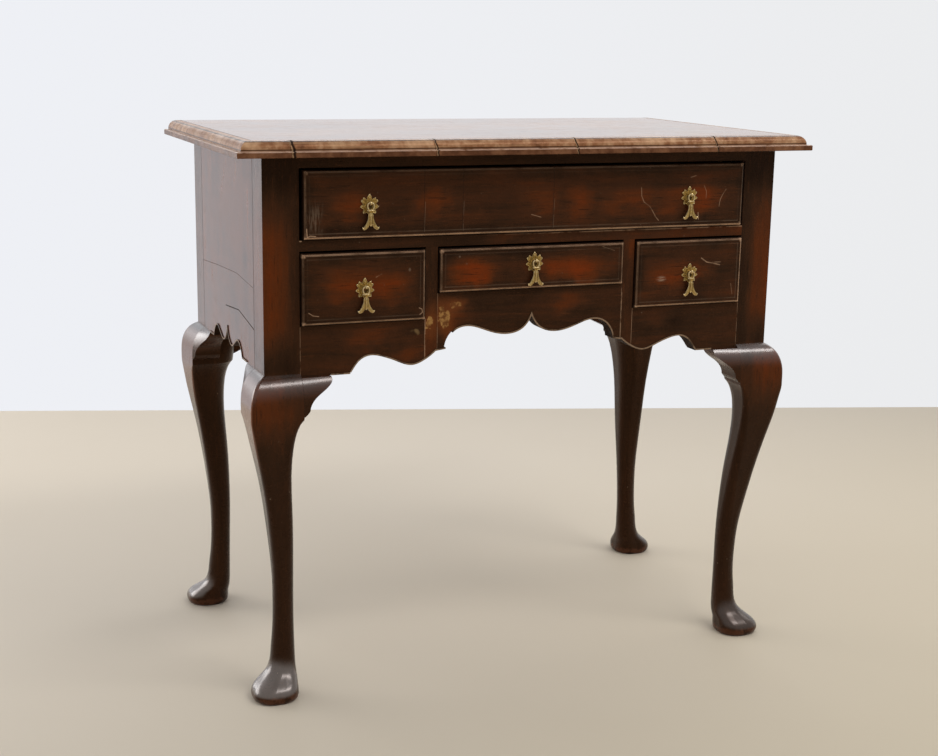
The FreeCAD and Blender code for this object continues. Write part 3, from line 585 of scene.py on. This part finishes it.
def mid_rail_marks(wood, colour):
    top_line = wood.mul(wood.fade(wood.z, 0.6030, 0.6038), wood.fade(wood.x, -0.10, 0.10))
    colour = wood.lay(colour, WORN, top_line, wood.fade(wood.mottle, 0.35, 0.55), 0.45)
    return fleck(wood, colour, -0.317, 0.6045, 0.0022, 0.0012, 0.4, 0.7, WORN)


def left_apron_marks(wood, colour):
    chip = wood.blob(wood.swayed[0], wood.swayed[2], (-0.1600, 0.4790), 0.0062, 0.0046, 0.7)
    return apron_marks(wood, wood.lay(colour, (120, 96, 64), chip, 0.8))


def bead_material(name, outward):
    """The thin strip along the shaped edges: rubbed pale on the face that looks along outward, dark below."""
    wood = Wood(name, "x", 4.0)
    face = wood.fade(wood.size(wood.facing()["xyz".index(outward)]), 0.80, 0.97)
    rubbed = wood.mul(face, wood.fade(wood.mottle, 0.34, 0.50, 0.25, 0.85))
    colour = wood.mix(rubbed, wood.walnut(0.12), (148, 122, 98))
    return wood.finish(colour, rough=wood.fade(face, 0.0, 1.0, 0.75, 0.4), specular=0.3)


def dress_front():
    worn_edge = edge_wood("walnut_edge", (112, 82, 62), DARK, 2.0)
    # The top rail's low tone is partly painted shade under the top's overhang.
    front_board("top_rail", "x", 1.0, 0.14, [], edge=worn_edge)
    front_board("mid_rail", "x", 2.3, lambda wood: wood.fade(wood.x, -0.30, 0.24, 0.16, 0.46),
                [(-0.040, 0.598, 0.040, 0.012, 0.25)], mid_rail_marks, worn_edge)
    front_board("apron_left", "x", 3.1, 0.27,
                [(-0.225, 0.478, 0.060, 0.024, 0.36), (-0.168, 0.452, 0.030, 0.026, 0.30)], left_apron_marks)
    front_board("apron_centre", "x", 5.5, 0.29,
                [(-0.116, 0.492, 0.040, 0.044, 0.36), (0.055, 0.508, 0.040, 0.022, 0.38)], centre_apron_marks)
    front_board("apron_right", "x", 4.2, 0.31, [(0.190, 0.478, 0.040, 0.020, 0.26)], apron_marks)
    front_board("muntin_left", "z", 6.1, lambda wood: wood.fade(wood.z, 0.530, 0.480, 0.26, 0.56), [],
                left_muntin_marks)
    front_board("muntin_right", "z", 7.7, 0.33, [(0.142, 0.582, 0.014, 0.026, 0.22)],
                right_muntin_marks)
    for name, seed, ovals, rubbed, marks in (
            ("long_drawer", 8.0, LONG_GLOWS, (0.30, 0.26, 0.24, 1.0), long_drawer_marks),
            ("left_drawer", 9.2, LEFT_GLOWS, (0.20, 0.45, 0.50, 0.75), left_drawer_marks),
            ("centre_drawer", 10.4, CENTRE_GLOWS, (0.40, 0.45, 0.42, 0.85), centre_drawer_marks),
            ("right_drawer", 11.6, RIGHT_GLOWS, (0.28, 0.80, 0.45, 0.85), right_drawer_marks)):
        node = name + "_front"
        give(node, drawer_material(node, seed, ovals, rubbed, marks))
        soften(node, 0.0004, angle=60.0)
    give("cockbead_front", bead_material("walnut_bead_front", "y"))
    give("cockbead_sides", bead_material("walnut_bead_sides", "x"))


def pale_streaks_and_sheen(wood, colour, runs, amount):
    """Pale mauve streaks: partly varnish that light has turned pale, partly a painted sheen of bright
    surroundings on side faces.
    """
    streaks = wood.add(wood.mul(runs, 0.55), wood.mul(wood.blotch, 0.45))
    return wood.lay(colour, (138, 100, 84), wood.fade(streaks, 0.20, 0.80), amount)


def dress_sides():
    for side, name in ((-1, "side_panel_left"), (1, "side_panel_right")):
        wood = Wood("walnut_" + name, "y", 12.0 + side)
        runs = wood.runs()
        colour = wood.walnut(wood.stir(0.56, runs, 0.6), 0.7)
        # Pale mauve streaks: partly faded varnish, partly the side's sheen painted in.
        colour = pale_streaks_and_sheen(wood, colour, runs, 0.75)
        for points, width, amount in (
                ([(0.153, 0.535), (0.060, 0.541), (-0.050, 0.546), (-0.138, 0.540)], 0.0007, 0.55),
                ([(0.015, 0.492), (-0.060, 0.498), (-0.145, 0.486)], 0.0011, 0.95)):
            colour, crack = line(wood, colour, points, width, (8, 5, 4), amount, across=wood.y)
            wood.split(wood.mul(crack, amount))
        for joint in (-0.1442, 0.1542):
            seam = wood.fade(wood.size(wood.sub(wood.y, joint)), 0.0020, 0.0009)
            colour = wood.mix(seam, colour, (10, 7, 6))
            wood.split(seam)
        dull = wood.fade(wood.stir(runs, wood.blotch, 0.8), 0.30, 0.75, 0.12, 0.24)
        rough = wood.add(dull, wood.mul(wood.dark, 0.7))
        give(name, wood.finish(colour, rough=rough, relief=0.22, tint=(206, 168, 150)),
             edge_wood("walnut_joint_" + name, (34, 22, 16), GRIME_AND_SHADE, 13.0 + side))
        soften(name, 0.0012, segments=1, edge_material=True)
    wood = Wood("pine_back", "x", 15.0)
    pine = [(0.25, (60, 42, 28)), (0.55, (92, 66, 44)), (0.85, (118, 88, 60))]
    colour = wood.ramp(wood.blend(0.7, 0.4), pine)
    give("back_panel", wood.finish(colour, rough=0.6, specular=0.3))
    soften("back_panel", 0.0008)


# The legs keep clear polish up to the case, glossier on the right knees and less of it on the right feet
POLISH_TOP = 0.437
POLISH_IOR = {"left": 1.7, "right": 1.9}
FOOT_POLISH = {"left": 0.90, "right": 0.35}
# How much pale dust lies on the foot tops, which partly paints their sheen
FOOT_DUST_AND_SHEEN = {"left": 0.30, "right": 0.08}
KNEE_JOINT = {"left": -0.3192, "right": 0.3192}


def polish(wood):
    """How much clear polish is left: on faces that look up, below the case. Also how much a face looks
    sideways."""
    facing = wood.facing()
    upward = wood.fade(facing[2], 0.12, 0.50)
    sideways = wood.fade(wood.size(facing[0]), 0.60, 0.90)
    return wood.mul(upward, wood.fade(wood.z, POLISH_TOP, POLISH_TOP - 0.003)), sideways


def leg_material(name, seed):
    """A leg: darker shin, warm knee under its roll, rubbed arris and a knocked foot; with painted shade on
    the post under the top, pale mauve streaks on its upper side faces that are partly a painted sheen,
    painted light on the knees' outer sides, and pale foot tops that are dust and partly a painted sheen.
    """
    wood = Wood("walnut_" + name, "z", seed)
    _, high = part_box(name)
    side = "right" if high.x > 0 else "left"
    outward = wood.size(wood.x)
    in_front = wood.fade(wood.y, 0.0, -0.10)
    knee = wood.band(wood.z, 0.330, 0.400, 0.425, 0.445)
    knee = wood.mul(knee, wood.fade(outward, 0.315, 0.368, 0.20, 0.44))
    post = wood.band(wood.z, 0.440, 0.500, 0.600, 0.692)
    post = wood.mul(post, wood.fade(outward, 0.3175, 0.3480, 0.02, 0.44))
    # Painted shade: the posts darken over the last 5 cm under the top's overhang.
    shade_under_top = wood.fade(wood.z, 0.640, 0.695, 0.0, -0.22)
    tone = wood.add(wood.add(0.19, wood.mul(in_front, wood.add(knee, post))), shade_under_top)
    colour = wood.walnut(tone, 0.85)
    shin = wood.fade(wood.z, 0.370, 0.290)
    colour = wood.lay(colour, (34, 22, 15), shin, 0.55)
    colour = wood.lay(colour, (176, 152, 130), wood.specks, shin, 0.6)
    toe = wood.stir(wood.z, wood.wear, 0.014)
    chipped = wood.mul(wood.fade(toe, 0.013, 0.008), wood.fade(wood.mottle, 0.40, 0.52))
    colour = wood.lay(colour, (88, 54, 38), chipped, 0.6)
    # Pale dust on the up-facing foot tops, partly a painted sheen.
    dusty = wood.mul(wood.fade(wood.z, 0.062, 0.040), wood.fade(wood.facing()[2], 0.05, 0.45))
    colour = wood.lay(colour, (150, 138, 128), dusty, FOOT_DUST_AND_SHEEN[side])
    coat, sideways = polish(wood)
    coat = wood.mul(coat, wood.fade(wood.z, 0.060, 0.250, FOOT_POLISH[side], 1.0))
    runs = wood.runs()
    # Pale mauve streaks on the posts' side faces above the knees: partly a painted sheen.
    post_side_sheen = wood.mul(sideways, wood.fade(wood.z, 0.425, 0.440))
    colour = pale_streaks_and_sheen(wood, colour, runs, wood.mul(post_side_sheen, 0.75))
    # Painted light: the outer side faces of the knees are laid lighter, as the lit side.
    knee_side_painted_light = wood.mul(sideways, wood.band(wood.z, 0.300, 0.370, 0.425, 0.440))
    colour = wood.lay(colour, (140, 94, 70), knee_side_painted_light, wood.fade(outward, 0.340, 0.366), 0.55)
    wood.dark = wood.mul(chipped, 0.4)
    rough = wood.fade(sideways, 0.0, 1.0, 0.27, 0.18)
    return wood.finish(colour, rough=rough, coat=coat, relief=0.35, coat_ior=POLISH_IOR[side])


def knee_block_material(name, seed):
    """A block beside a knee, finished with it, and a pale line where it is glued on."""
    wood = Wood("walnut_" + name, "x", seed)
    low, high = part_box(name)
    side = "right" if high.x > 0 else "left"
    colour = wood.walnut(wood.fade(wood.z, 0.385, 0.425, 0.30, 0.44), 0.85)
    colour = upright_edge(wood, colour, KNEE_JOINT[side], low.z, 0.424, 0.7, DUST)
    coat, _ = polish(wood)
    return wood.finish(colour, rough=0.27, coat=coat, relief=0.35, coat_ior=POLISH_IOR[side])


def dress_legs():
    for index, name in enumerate(("leg_front_left", "leg_front_right", "leg_back_left", "leg_back_right")):
        give(name, leg_material(name, 20.0 + index * 1.7))
        soften(name, 0.0007, angle=50.0)
        blocks = name.replace("leg", "knee_blocks")
        give(blocks, knee_block_material(blocks, 24.0 + index))
        soften(blocks, 0.0006, angle=50.0)


# ---- the top

# Where the front moulding's lengths meet, and the course of such a joint as (x from there, z)
WIDE_JOINT = -0.332
MOULDING_JOINTS = (WIDE_JOINT, -0.147, 0.047, 0.255)
JOINT_WAVE = ((0.0, 0.7105), (-0.001, 0.7150), (0.001, 0.7190), (-0.0015, 0.7260), (-0.001, 0.7300))


def moulding_joints(wood, colour):
    """Dark wavy cracks where the lengths of the front moulding meet, each with a pale lip at its left."""
    for joint in MOULDING_JOINTS:
        width = 0.0022 if joint == WIDE_JOINT else 0.0012
        wave = [(joint + x, z) for x, z in JOINT_WAVE]
        lip = [(x - 1.2 * width, z) for x, z in wave]
        colour, _ = line(wood, colour, lip, 0.0010, (186, 156, 118), 0.5, broken=0.3)
        colour, crack = line(wood, colour, wave, width, (20, 12, 8), 0.95)
        wood.split(crack)
    return colour


def moulding_material(name, grain, seed, inner):
    """Faded cross-grain walnut: honey on the ovolo, partly a painted sheen, with painted highlight streaks,
    painted shade in the hollow, a bare line at the step and a brown band below, and a painted step shadow
    along the top. Inner gives the distance from the joint with the board."""
    wood = Wood("walnut_" + name, grain, seed)
    tone = wood.blend(0.45, 0.45, 0.2)
    # The ovolo's honey tone is lighter partly as a painted sheen.
    honey = wood.ramp(tone, [(0.36, (78, 40, 22)), (0.52, (144, 98, 66)), (0.70, (204, 164, 126))])
    brown = wood.ramp(tone, [(0.34, (48, 26, 16)), (0.53, (100, 64, 44)), (0.74, (150, 106, 76))])
    colour = wood.mix(wood.fade(wood.z, 0.7165, 0.7185), brown, honey)
    # Painted shade: a dark band in the hollow above the step.
    hollow_shade = wood.band(wood.z, 0.7182, 0.7188, 0.7196, 0.7206)
    colour = wood.lay(colour, (56, 33, 20), hollow_shade, 0.85)
    rim = wood.mul(wood.band(wood.z, 0.7162, 0.7170, 0.7178, 0.7186), wood.fade(wood.mottle, 0.30, 0.50))
    colour = wood.lay(colour, (196, 164, 142), rim, 0.8)
    # Painted highlights: pale streaks on the upper ovolo.
    lights = wood.fade(wood.noise(wood.stretch(14, 14, 330, seed), 1.0, 2.0), 0.56, 0.70)
    colour = wood.lay(colour, (182, 146, 108), lights, wood.fade(wood.z, 0.719, 0.722), 0.45)
    gap = wood.fade(wood.stir(inner(wood), wood.mottle, 0.0008), 0.0018, 0.0009)
    colour = wood.lay(colour, (26, 17, 12), gap, 0.9)
    wood.dark = wood.mul(gap, 0.6)
    # Painted shadow: a thin dark line along the ovolo's top edge, where a step would cast shade.
    step_shadow = wood.mul(wood.fade(wood.z, 0.7284, 0.7289), wood.fade(wood.facing()[2], 0.985, 0.950))
    colour = wood.lay(colour, (40, 27, 18), step_shadow, wood.fade(wood.mottle, 0.30, 0.50, 0.6, 0.95))
    dull = 0.36
    if name.endswith("front"):
        dull = 0.24
        colour = moulding_joints(wood, colour)
    return wood.finish(colour, rough=wood.add(dull, wood.mul(wood.dark, 0.6)), relief=0.4)


def dress_top():
    wood = Wood("walnut_top_board", "x", 31.0)
    tone = wood.blend(0.4, 0.4, 0.3)
    colour = wood.ramp(tone, [(0.36, (94, 60, 44)), (0.56, (156, 114, 88)), (0.76, (196, 154, 124))])
    colour = wood.lay(colour, (60, 38, 26), wood.pores, 0.3)
    rough = wood.fade(wood.blend(0.5, 0.5), 0.35, 0.65, 0.07, 0.15)
    give("top_board", wood.finish(colour, rough=rough, relief=0.12, specular=0.6, tint=(240, 222, 206)),
         edge_wood("walnut_joint_top_board", (40, 27, 18), GRIME_AND_SHADE, 35.0))
    soften("top_board", 0.0016, segments=1, edge_material=True)
    board_low, board_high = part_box("top_board")
    for name, grain, seed, inner in (
            ("top_moulding_front", "y", 32.0, lambda wood: wood.sub(board_low.y, wood.y)),
            ("top_moulding_left", "x", 33.0, lambda wood: wood.sub(board_low.x, wood.x)),
            ("top_moulding_right", "x", 34.0, lambda wood: wood.sub(wood.x, board_high.x))):
        give(name, moulding_material(name, grain, seed, inner),
             edge_wood("walnut_edge_" + name, (176, 138, 104), (84, 52, 34), seed))
        soften(name, 0.0005, edge_material=True)


# ---- inside

def oak_material(name, grain, seed):
    """Plain dry oak inside the case, darker with age and dust."""
    wood = Wood(name, grain, seed)
    oak = [(0.25, (92, 66, 42)), (0.55, (138, 104, 68)), (0.85, (166, 130, 88))]
    colour = wood.ramp(wood.blend(0.7, 0.4), oak)
    colour = wood.lay(colour, (60, 42, 28), wood.pores, 0.5)
    return wood.finish(colour, rough=0.7, specular=0.25, tint=(255, 235, 210))


def dress_inside():
    along_x = oak_material("oak_across", "x", 40.0)
    along_y = oak_material("oak_deep", "y", 41.0)
    for name in ("partitions", "long_drawer_runners", "side_drawer_runners", "centre_drawer_runners",
                 "drawer_guides", "kickers"):
        give(name, along_y)
        soften(name, 0.0006)
    give("drawer_stops", along_x)
    for drawer in ("long_drawer", "left_drawer", "centre_drawer", "right_drawer"):
        give(drawer + "_sides", along_y)
        give(drawer + "_back", along_x)
        give(drawer + "_bottom", along_x)
        soften(drawer + "_sides", 0.0005)


# ---- brass

# The brass is measured in millimetres
MM = 0.001
# A plate's petals: direction from the top in degrees, reach, half width in degrees and number of points
PETALS = [(0, 16.0, 24, 1), (47, 13.8, 27, 2), (94, 12.7, 24, 1), (137, 12.6, 24, 1), (180, 12.7, 22, 1),
          (223, 12.6, 24, 1), (266, 12.7, 24, 1), (313, 13.8, 27, 2)]
PLATE_WAIST = 8.0
PLATE_BORE = 1.3
PLATE_HIGHEST = 1.6
PLATE_TOP = 16.2
PLATE_HALF_WIDTH = 12.7
NAIL_UP = 12.4
# A twin petal's two points stand this share of its half width from its middle
TWIN_POINT = 0.42
PLATE_TURNS, PLATE_RINGS = 176, 18


def brass_material(name, raised):
    """Cast brass, pale on the high places and green-brown in the hollows. Raised gives the height."""
    shader = Shader(name)
    tarnish = shader.noise(shader.place, 420.0, 4.0, 0.6)
    grains = shader.noise(shader.place, 1500.0, 3.0, 0.6)
    height = raised(shader)
    colour = shader.ramp(tarnish, [(0.30, (126, 98, 42)), (0.52, (172, 138, 70)), (0.75, (204, 172, 104))])
    colour = shader.lay(colour, (236, 214, 168), shader.fade(height, 0.55, 0.95), 0.75)
    colour = shader.lay(colour, (58, 44, 20), shader.fade(height, 0.37, 0.07), 0.92)
    normal = shader.bump(shader.add(shader.mul(grains, 0.5), tarnish), 0.00025, 0.5)
    rough = shader.fade(tarnish, 0.3, 0.7, 0.46, 0.28)
    return shader.surface(colour, rough, normal, metal=0.8)


def hump(value, middle, width):
    return math.exp(-((value - middle) / width) ** 2)


def petal_share(turn):
    """How far a plate reaches in a direction in degrees, and how near that direction is to a petal's rib."""
    reach, rib = PLATE_WAIST, 0.0
    for direction, length, half, points in PETALS:
        share = abs((turn - direction + 180.0) % 360.0 - 180.0) / half
        if share >= 1.0:
            continue
        tip = TWIN_POINT if points == 2 else 0.0
        if share < tip:
            form = 1.0 - 0.30 * ((tip - share) / tip) ** 1.3
        else:
            form = (1.0 - (share - tip) / (1.0 - tip)) ** 0.85
        reach = max(reach, PLATE_WAIST + (length - PLATE_WAIST) * form)
        rib = max(rib, hump(share, tip, 0.20))
    return reach, rib


def plate_height(turn, radius, across, up):
    """The plate's relief in millimetres: rubbed rims, ribs, a ring round the bore and a nail at the top."""
    reach, rib = petal_share(turn)
    inside = reach - radius
    outwards = min(1.0, max(0.0, (radius - 5.0) / 4.0))
    height = 0.34 + 0.26 * outwards + 0.80 * hump(inside, 0.75, 0.45) + 0.45 * rib * outwards
    height += 0.40 * hump(radius, 5.2, 0.9) - 0.34 * hump(radius, 1.5, 2.6)
    nail = math.hypot(across, up - NAIL_UP)
    height += 0.5 * hump(nail, 1.5, 0.5) - 0.6 * hump(nail, 0.0, 0.7)
    height *= 0.45 + 0.55 * min(1.0, inside / 0.5)
    return min(PLATE_HIGHEST, max(0.2, height))


def plate_rings(x, z, back):
    """Points and heights of one plate: front rings from the bore outwards, then two back rings."""
    points, heights = [], []
    for ring in range(PLATE_RINGS + 1):
        share = ring / PLATE_RINGS
        for step in range(PLATE_TURNS):
            turn = 360.0 * step / PLATE_TURNS
            radius = PLATE_BORE + (petal_share(turn)[0] - PLATE_BORE) * share
            across, up = radius * math.sin(math.radians(turn)), radius * math.cos(math.radians(turn))
            height = plate_height(turn, radius, across, up)
            points.append((x + across * MM, back - height * MM, z + up * MM))
            heights.append(height / PLATE_HIGHEST)
    for start in (PLATE_RINGS * PLATE_TURNS, 0):
        points += [(px, back, pz) for px, _, pz in points[start:start + PLATE_TURNS]]
        heights += [0.0] * PLATE_TURNS
    return points, heights


def ring_faces(first, inner, outer, turns):
    """The faces between two rings of a shell whose points start at first."""
    inner, outer = first + inner * turns, first + outer * turns
    return [(inner + step, inner + (step + 1) % turns, outer + (step + 1) % turns, outer + step)
            for step in range(turns)]


def plates(name, places, back, material):
    """The cast plates of one drawer as one piece, each a closed shell."""
    points, heights, faces = [], [], []
    loops = list(range(PLATE_RINGS + 3)) + [0]
    for x, z in places:
        first = len(points)
        ring_points, ring_heights = plate_rings(x, z, back)
        points += ring_points
        heights += ring_heights
        for inner, outer in zip(loops, loops[1:]):
            faces += ring_faces(first, inner, outer, PLATE_TURNS)
    mesh = new_mesh(name, points, faces, material)
    mesh.attributes.new("relief", "FLOAT", "POINT").data.foreach_set("value", heights)
    return brass_piece(mesh)


def brass_piece(mesh):
    """An object of a brass mesh, with its faces turned outwards and shaded smooth."""
    work = bmesh.new()
    work.from_mesh(mesh)
    bmesh.ops.recalc_face_normals(work, faces=work.faces)
    work.to_mesh(mesh)
    work.free()
    for polygon in mesh.polygons:
        polygon.use_smooth = True
    return new_object(mesh.name, mesh)


# A drop's parts as strands of stations: across, up from the bar, half width and half depth
STIRRUP = [(-0.6, 0.0, 1.25, 1.25), (2.0, 0.0, 1.25, 1.25), (3.7, -1.3, 1.2, 1.4), (4.2, -3.8, 1.1, 1.4),
           (3.8, -6.4, 1.2, 1.5), (2.6, -8.6, 1.4, 1.7)]
COLLAR = [(0.0, -7.9, 3.4, 1.6), (0.0, -8.5, 5.1, 2.2), (0.0, -9.6, 5.2, 2.2), (0.0, -10.4, 3.4, 2.0),
          (0.0, -11.6, 2.3, 1.9), (0.0, -12.8, 2.5, 2.0), (0.0, -13.4, 2.2, 1.9)]
SPINE = [(0.0, -12.4, 1.6, 1.7), (0.0, -15.2, 2.4, 2.4), (0.0, -19.5, 2.0, 2.3), (0.0, -24.0, 2.3, 2.0),
         (0.0, -27.4, 1.9, 1.7), (0.0, -29.2, 0.7, 1.0)]
FLANK = [(0.8, -12.8, 1.3, 1.3), (1.7, -15.0, 1.8, 1.4), (1.9, -18.5, 1.8, 1.4), (2.6, -22.5, 2.1, 1.4),
         (3.9, -26.4, 2.5, 1.6), (6.0, -29.7, 2.5, 1.8), (8.4, -31.6, 2.1, 1.6), (10.1, -31.0, 1.3, 1.3),
         (10.3, -29.9, 0.8, 0.9)]
STATION_STEPS = 6
STRAND_TURNS = 18
# The CAD drop's bar, and how far its eyes stand up round the bar
BAR_RADIUS = 1.3
EYE_WALL = 0.6
# Voxels in metres
DROP_VOXEL = 0.00026
COTTER_VOXEL = 0.00030
RUB_ROUNDS = 2


def smooth_stations(stations):
    """The stations joined by smooth curves."""
    padded = [stations[0]] + stations + [stations[-1]]
    smooth = []
    for before, start, end, after in zip(padded, padded[1:], padded[2:], padded[3:]):
        for step in range(STATION_STEPS):
            t = step / STATION_STEPS
            smooth.append(tuple(0.5 * (2 * b + (c - a) * t + (2 * a - 5 * b + 4 * c - d) * t * t
                                       + (3 * b - a - 3 * c + d) * t ** 3)
                                for a, b, c, d in zip(before, start, end, after)))
    return smooth + [stations[-1]]


def add_strand(points, faces, stations, side, x, y, z):
    """Adds a closed tube that follows the stations in the plane of the front."""
    path = [(side * across, up, wide, deep) for across, up, wide, deep in smooth_stations(stations)]
    first = len(points)
    for index, (across, up, wide, deep) in enumerate(path):
        before, after = path[max(index - 1, 0)], path[min(index + 1, len(path) - 1)]
        run = Vector((after[0] - before[0], after[1] - before[1])).normalized()
        for step in range(STRAND_TURNS):
            angle = 2.0 * math.pi * step / STRAND_TURNS
            out, forward = wide * math.cos(angle), deep * math.sin(angle)
            points.append((x + (across - run.y * out) * MM, y + forward * MM, z + (up + run.x * out) * MM))
    for ring in range(len(path) - 1):
        faces += ring_faces(first, ring, ring + 1, STRAND_TURNS)
    for start in (first, len(points) - STRAND_TURNS):
        faces.append(tuple(range(start, start + STRAND_TURNS)))


def drop(name, x, y, z, material):
    """A cast split-tail drop: strands melted into one form."""
    points, faces = [], []
    for stations, sides in ((STIRRUP, (-1, 1)), (COLLAR, (1,)), (SPINE, (1,)), (FLANK, (-1, 1))):
        for side in sides:
            add_strand(points, faces, stations, side, x, y, z)
    piece = brass_piece(new_mesh(name, points, faces, material))
    cast_soft(piece, DROP_VOXEL)
    return piece


def cast_soft(piece, voxel):
    """Melts and rounds a form as casting and rubbing do."""
    remesh = piece.modifiers.new("cast", "REMESH")
    remesh.mode = "VOXEL"
    remesh.voxel_size = voxel
    remesh.use_smooth_shade = True
    piece.modifiers.new("rub", "SMOOTH").iterations = RUB_ROUNDS


def plate_raised(shader):
    relief = shader.node("ShaderNodeAttribute")
    relief.attribute_name = "relief"
    return relief.outputs["Fac"]


def drop_raised(shader):
    pointed = shader.node("ShaderNodeNewGeometry").outputs["Pointiness"]
    return shader.fade(pointed, 0.470, 0.530)


def stand_for(piece, node):
    """The piece rides with a brass CAD node and is shown instead of it."""
    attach(piece, nodes[node]["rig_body"])
    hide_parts(node)


def dress_pulls():
    plate_brass = brass_material("old_brass_plates", plate_raised)
    drop_brass = brass_material("old_brass_drops", drop_raised)
    for name in sorted(nodes):
        low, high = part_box(name)
        middle_x, middle_y = (low.x + high.x) / 2, (low.y + high.y) / 2
        if name.endswith("_drop"):
            bar = high.z - (BAR_RADIUS + EYE_WALL) * MM
            stand_for(drop("cast_" + name, middle_x, middle_y, bar, drop_brass), name)
        if name.endswith("_backplates"):
            bore = high.z - PLATE_TOP * MM
            aside = PLATE_HALF_WIDTH * MM
            if high.x - low.x > 3.0 * aside:
                places = [(low.x + aside, bore), (high.x - aside, bore)]
            else:
                places = [(middle_x, bore)]
            stand_for(plates("cast_" + name, places, high.y, plate_brass), name)
        if name.endswith("_cotters"):
            give(name, drop_brass)
            cast_soft(nodes[name], COTTER_VOXEL)


# ---- stage and light

def floor_material():
    """Pale boards without a pattern, with a faint unevenness."""
    shader = Shader("pale_floor")
    cloud = shader.noise(shader.place, 1.5, 3.0, 0.5)
    tone = shader.mix(cloud, (218, 205, 186), (224, 212, 195))
    warmer = shader.fade(shader.sub(shader.mul(shader.x, 0.6), shader.y), -0.8, 1.6)
    tone = shader.lay(tone, (196, 180, 148), warmer, 0.7)
    return shader.surface(tone, 0.6, shader.bump(cloud, 0.0005, 0.2), specular=0.3)


def wall_material():
    """A white wall that shows its own tone to the eye and in reflections."""
    shader = Shader("pale_wall")
    cloud = shader.noise(shader.place, 0.25, 2.0, 0.5)
    tone = shader.mix(shader.fade(shader.x, -2.1, 8.0), (238, 240, 246), (231, 231, 229))
    tone = shader.lay(tone, (243, 244, 247), cloud, 0.3)
    paint = shader.node("ShaderNodeBsdfDiffuse", Color=tone)
    shown = shader.node("ShaderNodeEmission", Color=tone, Strength=1.0)
    rays = shader.node("ShaderNodeLightPath").outputs
    seen = shader.high(rays["Is Camera Ray"], rays["Is Glossy Ray"])
    seen = shader.high(seen, rays["Is Transmission Ray"])
    blend = shader.node("ShaderNodeMixShader", Fac=seen)
    shader.link(paint.outputs[0], blend.inputs[1])
    shader.link(shown.outputs[0], blend.inputs[2])
    shader.link(blend.outputs[0], shader.output.inputs["Surface"])
    return shader.material


# The floor's far edge where it crosses the picture's left and right side, as pixels
EDGE_LEFT, EDGE_RIGHT = (0.0, 411.0), (PICTURE_WIDTH, 407.0)
FLOOR_ASIDE = 8.0
FLOOR_DEPTH = 12.0
# The backdrop stands well behind the floor's far edge, out of the way of rear views
WALL_BEHIND = 3.2
WALL_ASIDE = 16.0
WALL_FOOT, WALL_TOP = -2.0, 10.0


def make_stage():
    left, right = floor_point(*EDGE_LEFT), floor_point(*EDGE_RIGHT)
    along = (right - left).normalized()
    away = Vector((-along.y, along.x, 0.0))
    far_left, far_right = left - along * FLOOR_ASIDE, right + along * FLOOR_ASIDE
    near = away * FLOOR_DEPTH
    behind, sunk = away * WALL_BEHIND, Vector((0, 0, WALL_FOOT))
    foot_left = left - along * WALL_ASIDE + behind + sunk
    foot_right = right + along * WALL_ASIDE + behind + sunk
    up = Vector((0, 0, WALL_TOP - WALL_FOOT))
    for name, corners, material in (
            ("floor", [far_left - near, far_right - near, far_right, far_left], floor_material()),
            ("backdrop", [foot_left, foot_right, foot_right + up, foot_left + up], wall_material())):
        piece = new_object(name, new_mesh(name, corners, [(0, 1, 2, 3)], material))


def soft_light(name, place, aim, width, height, power):
    """A rectangular lamp that shines from its place towards its aim and isn't itself in the picture."""
    data = bpy.data.lights.new(name, "AREA")
    data.shape = "RECTANGLE"
    data.size = width
    data.size_y = height
    data.energy = power
    lamp = new_object(name, data)
    lamp.location = place
    lamp.rotation_euler = (Vector(aim) - Vector(place)).to_track_quat("-Z", "Y").to_euler()
    lamp.visible_camera = False


def make_light():
    world = bpy.data.worlds.new("studio")
    world.use_nodes = True
    background = world.node_tree.nodes["Background"]
    background.inputs["Color"].default_value = (0.93, 0.96, 1.0, 1.0)
    background.inputs["Strength"].default_value = 0.58
    bpy.context.scene.world = world
    soft_light("over", (1.05, -1.40, 2.6), (0.75, -0.10, 0.4), 1.7, 0.5, 25.0)
    soft_light("left_back", (-2.1, 1.70, 0.95), (-0.3, 0.0, 0.5), 1.8, 1.2, 24.0)
    soft_light("back", (0.75, 0.98, 1.62), (0.0, -0.2, 0.8), 3.6, 0.95, 15.0)


# ---- all together

make_camera()
dress_front()
dress_sides()
dress_legs()
dress_top()
dress_inside()
dress_pulls()
make_stage()
make_light()
bpy.context.scene.view_settings.view_transform = "Standard"
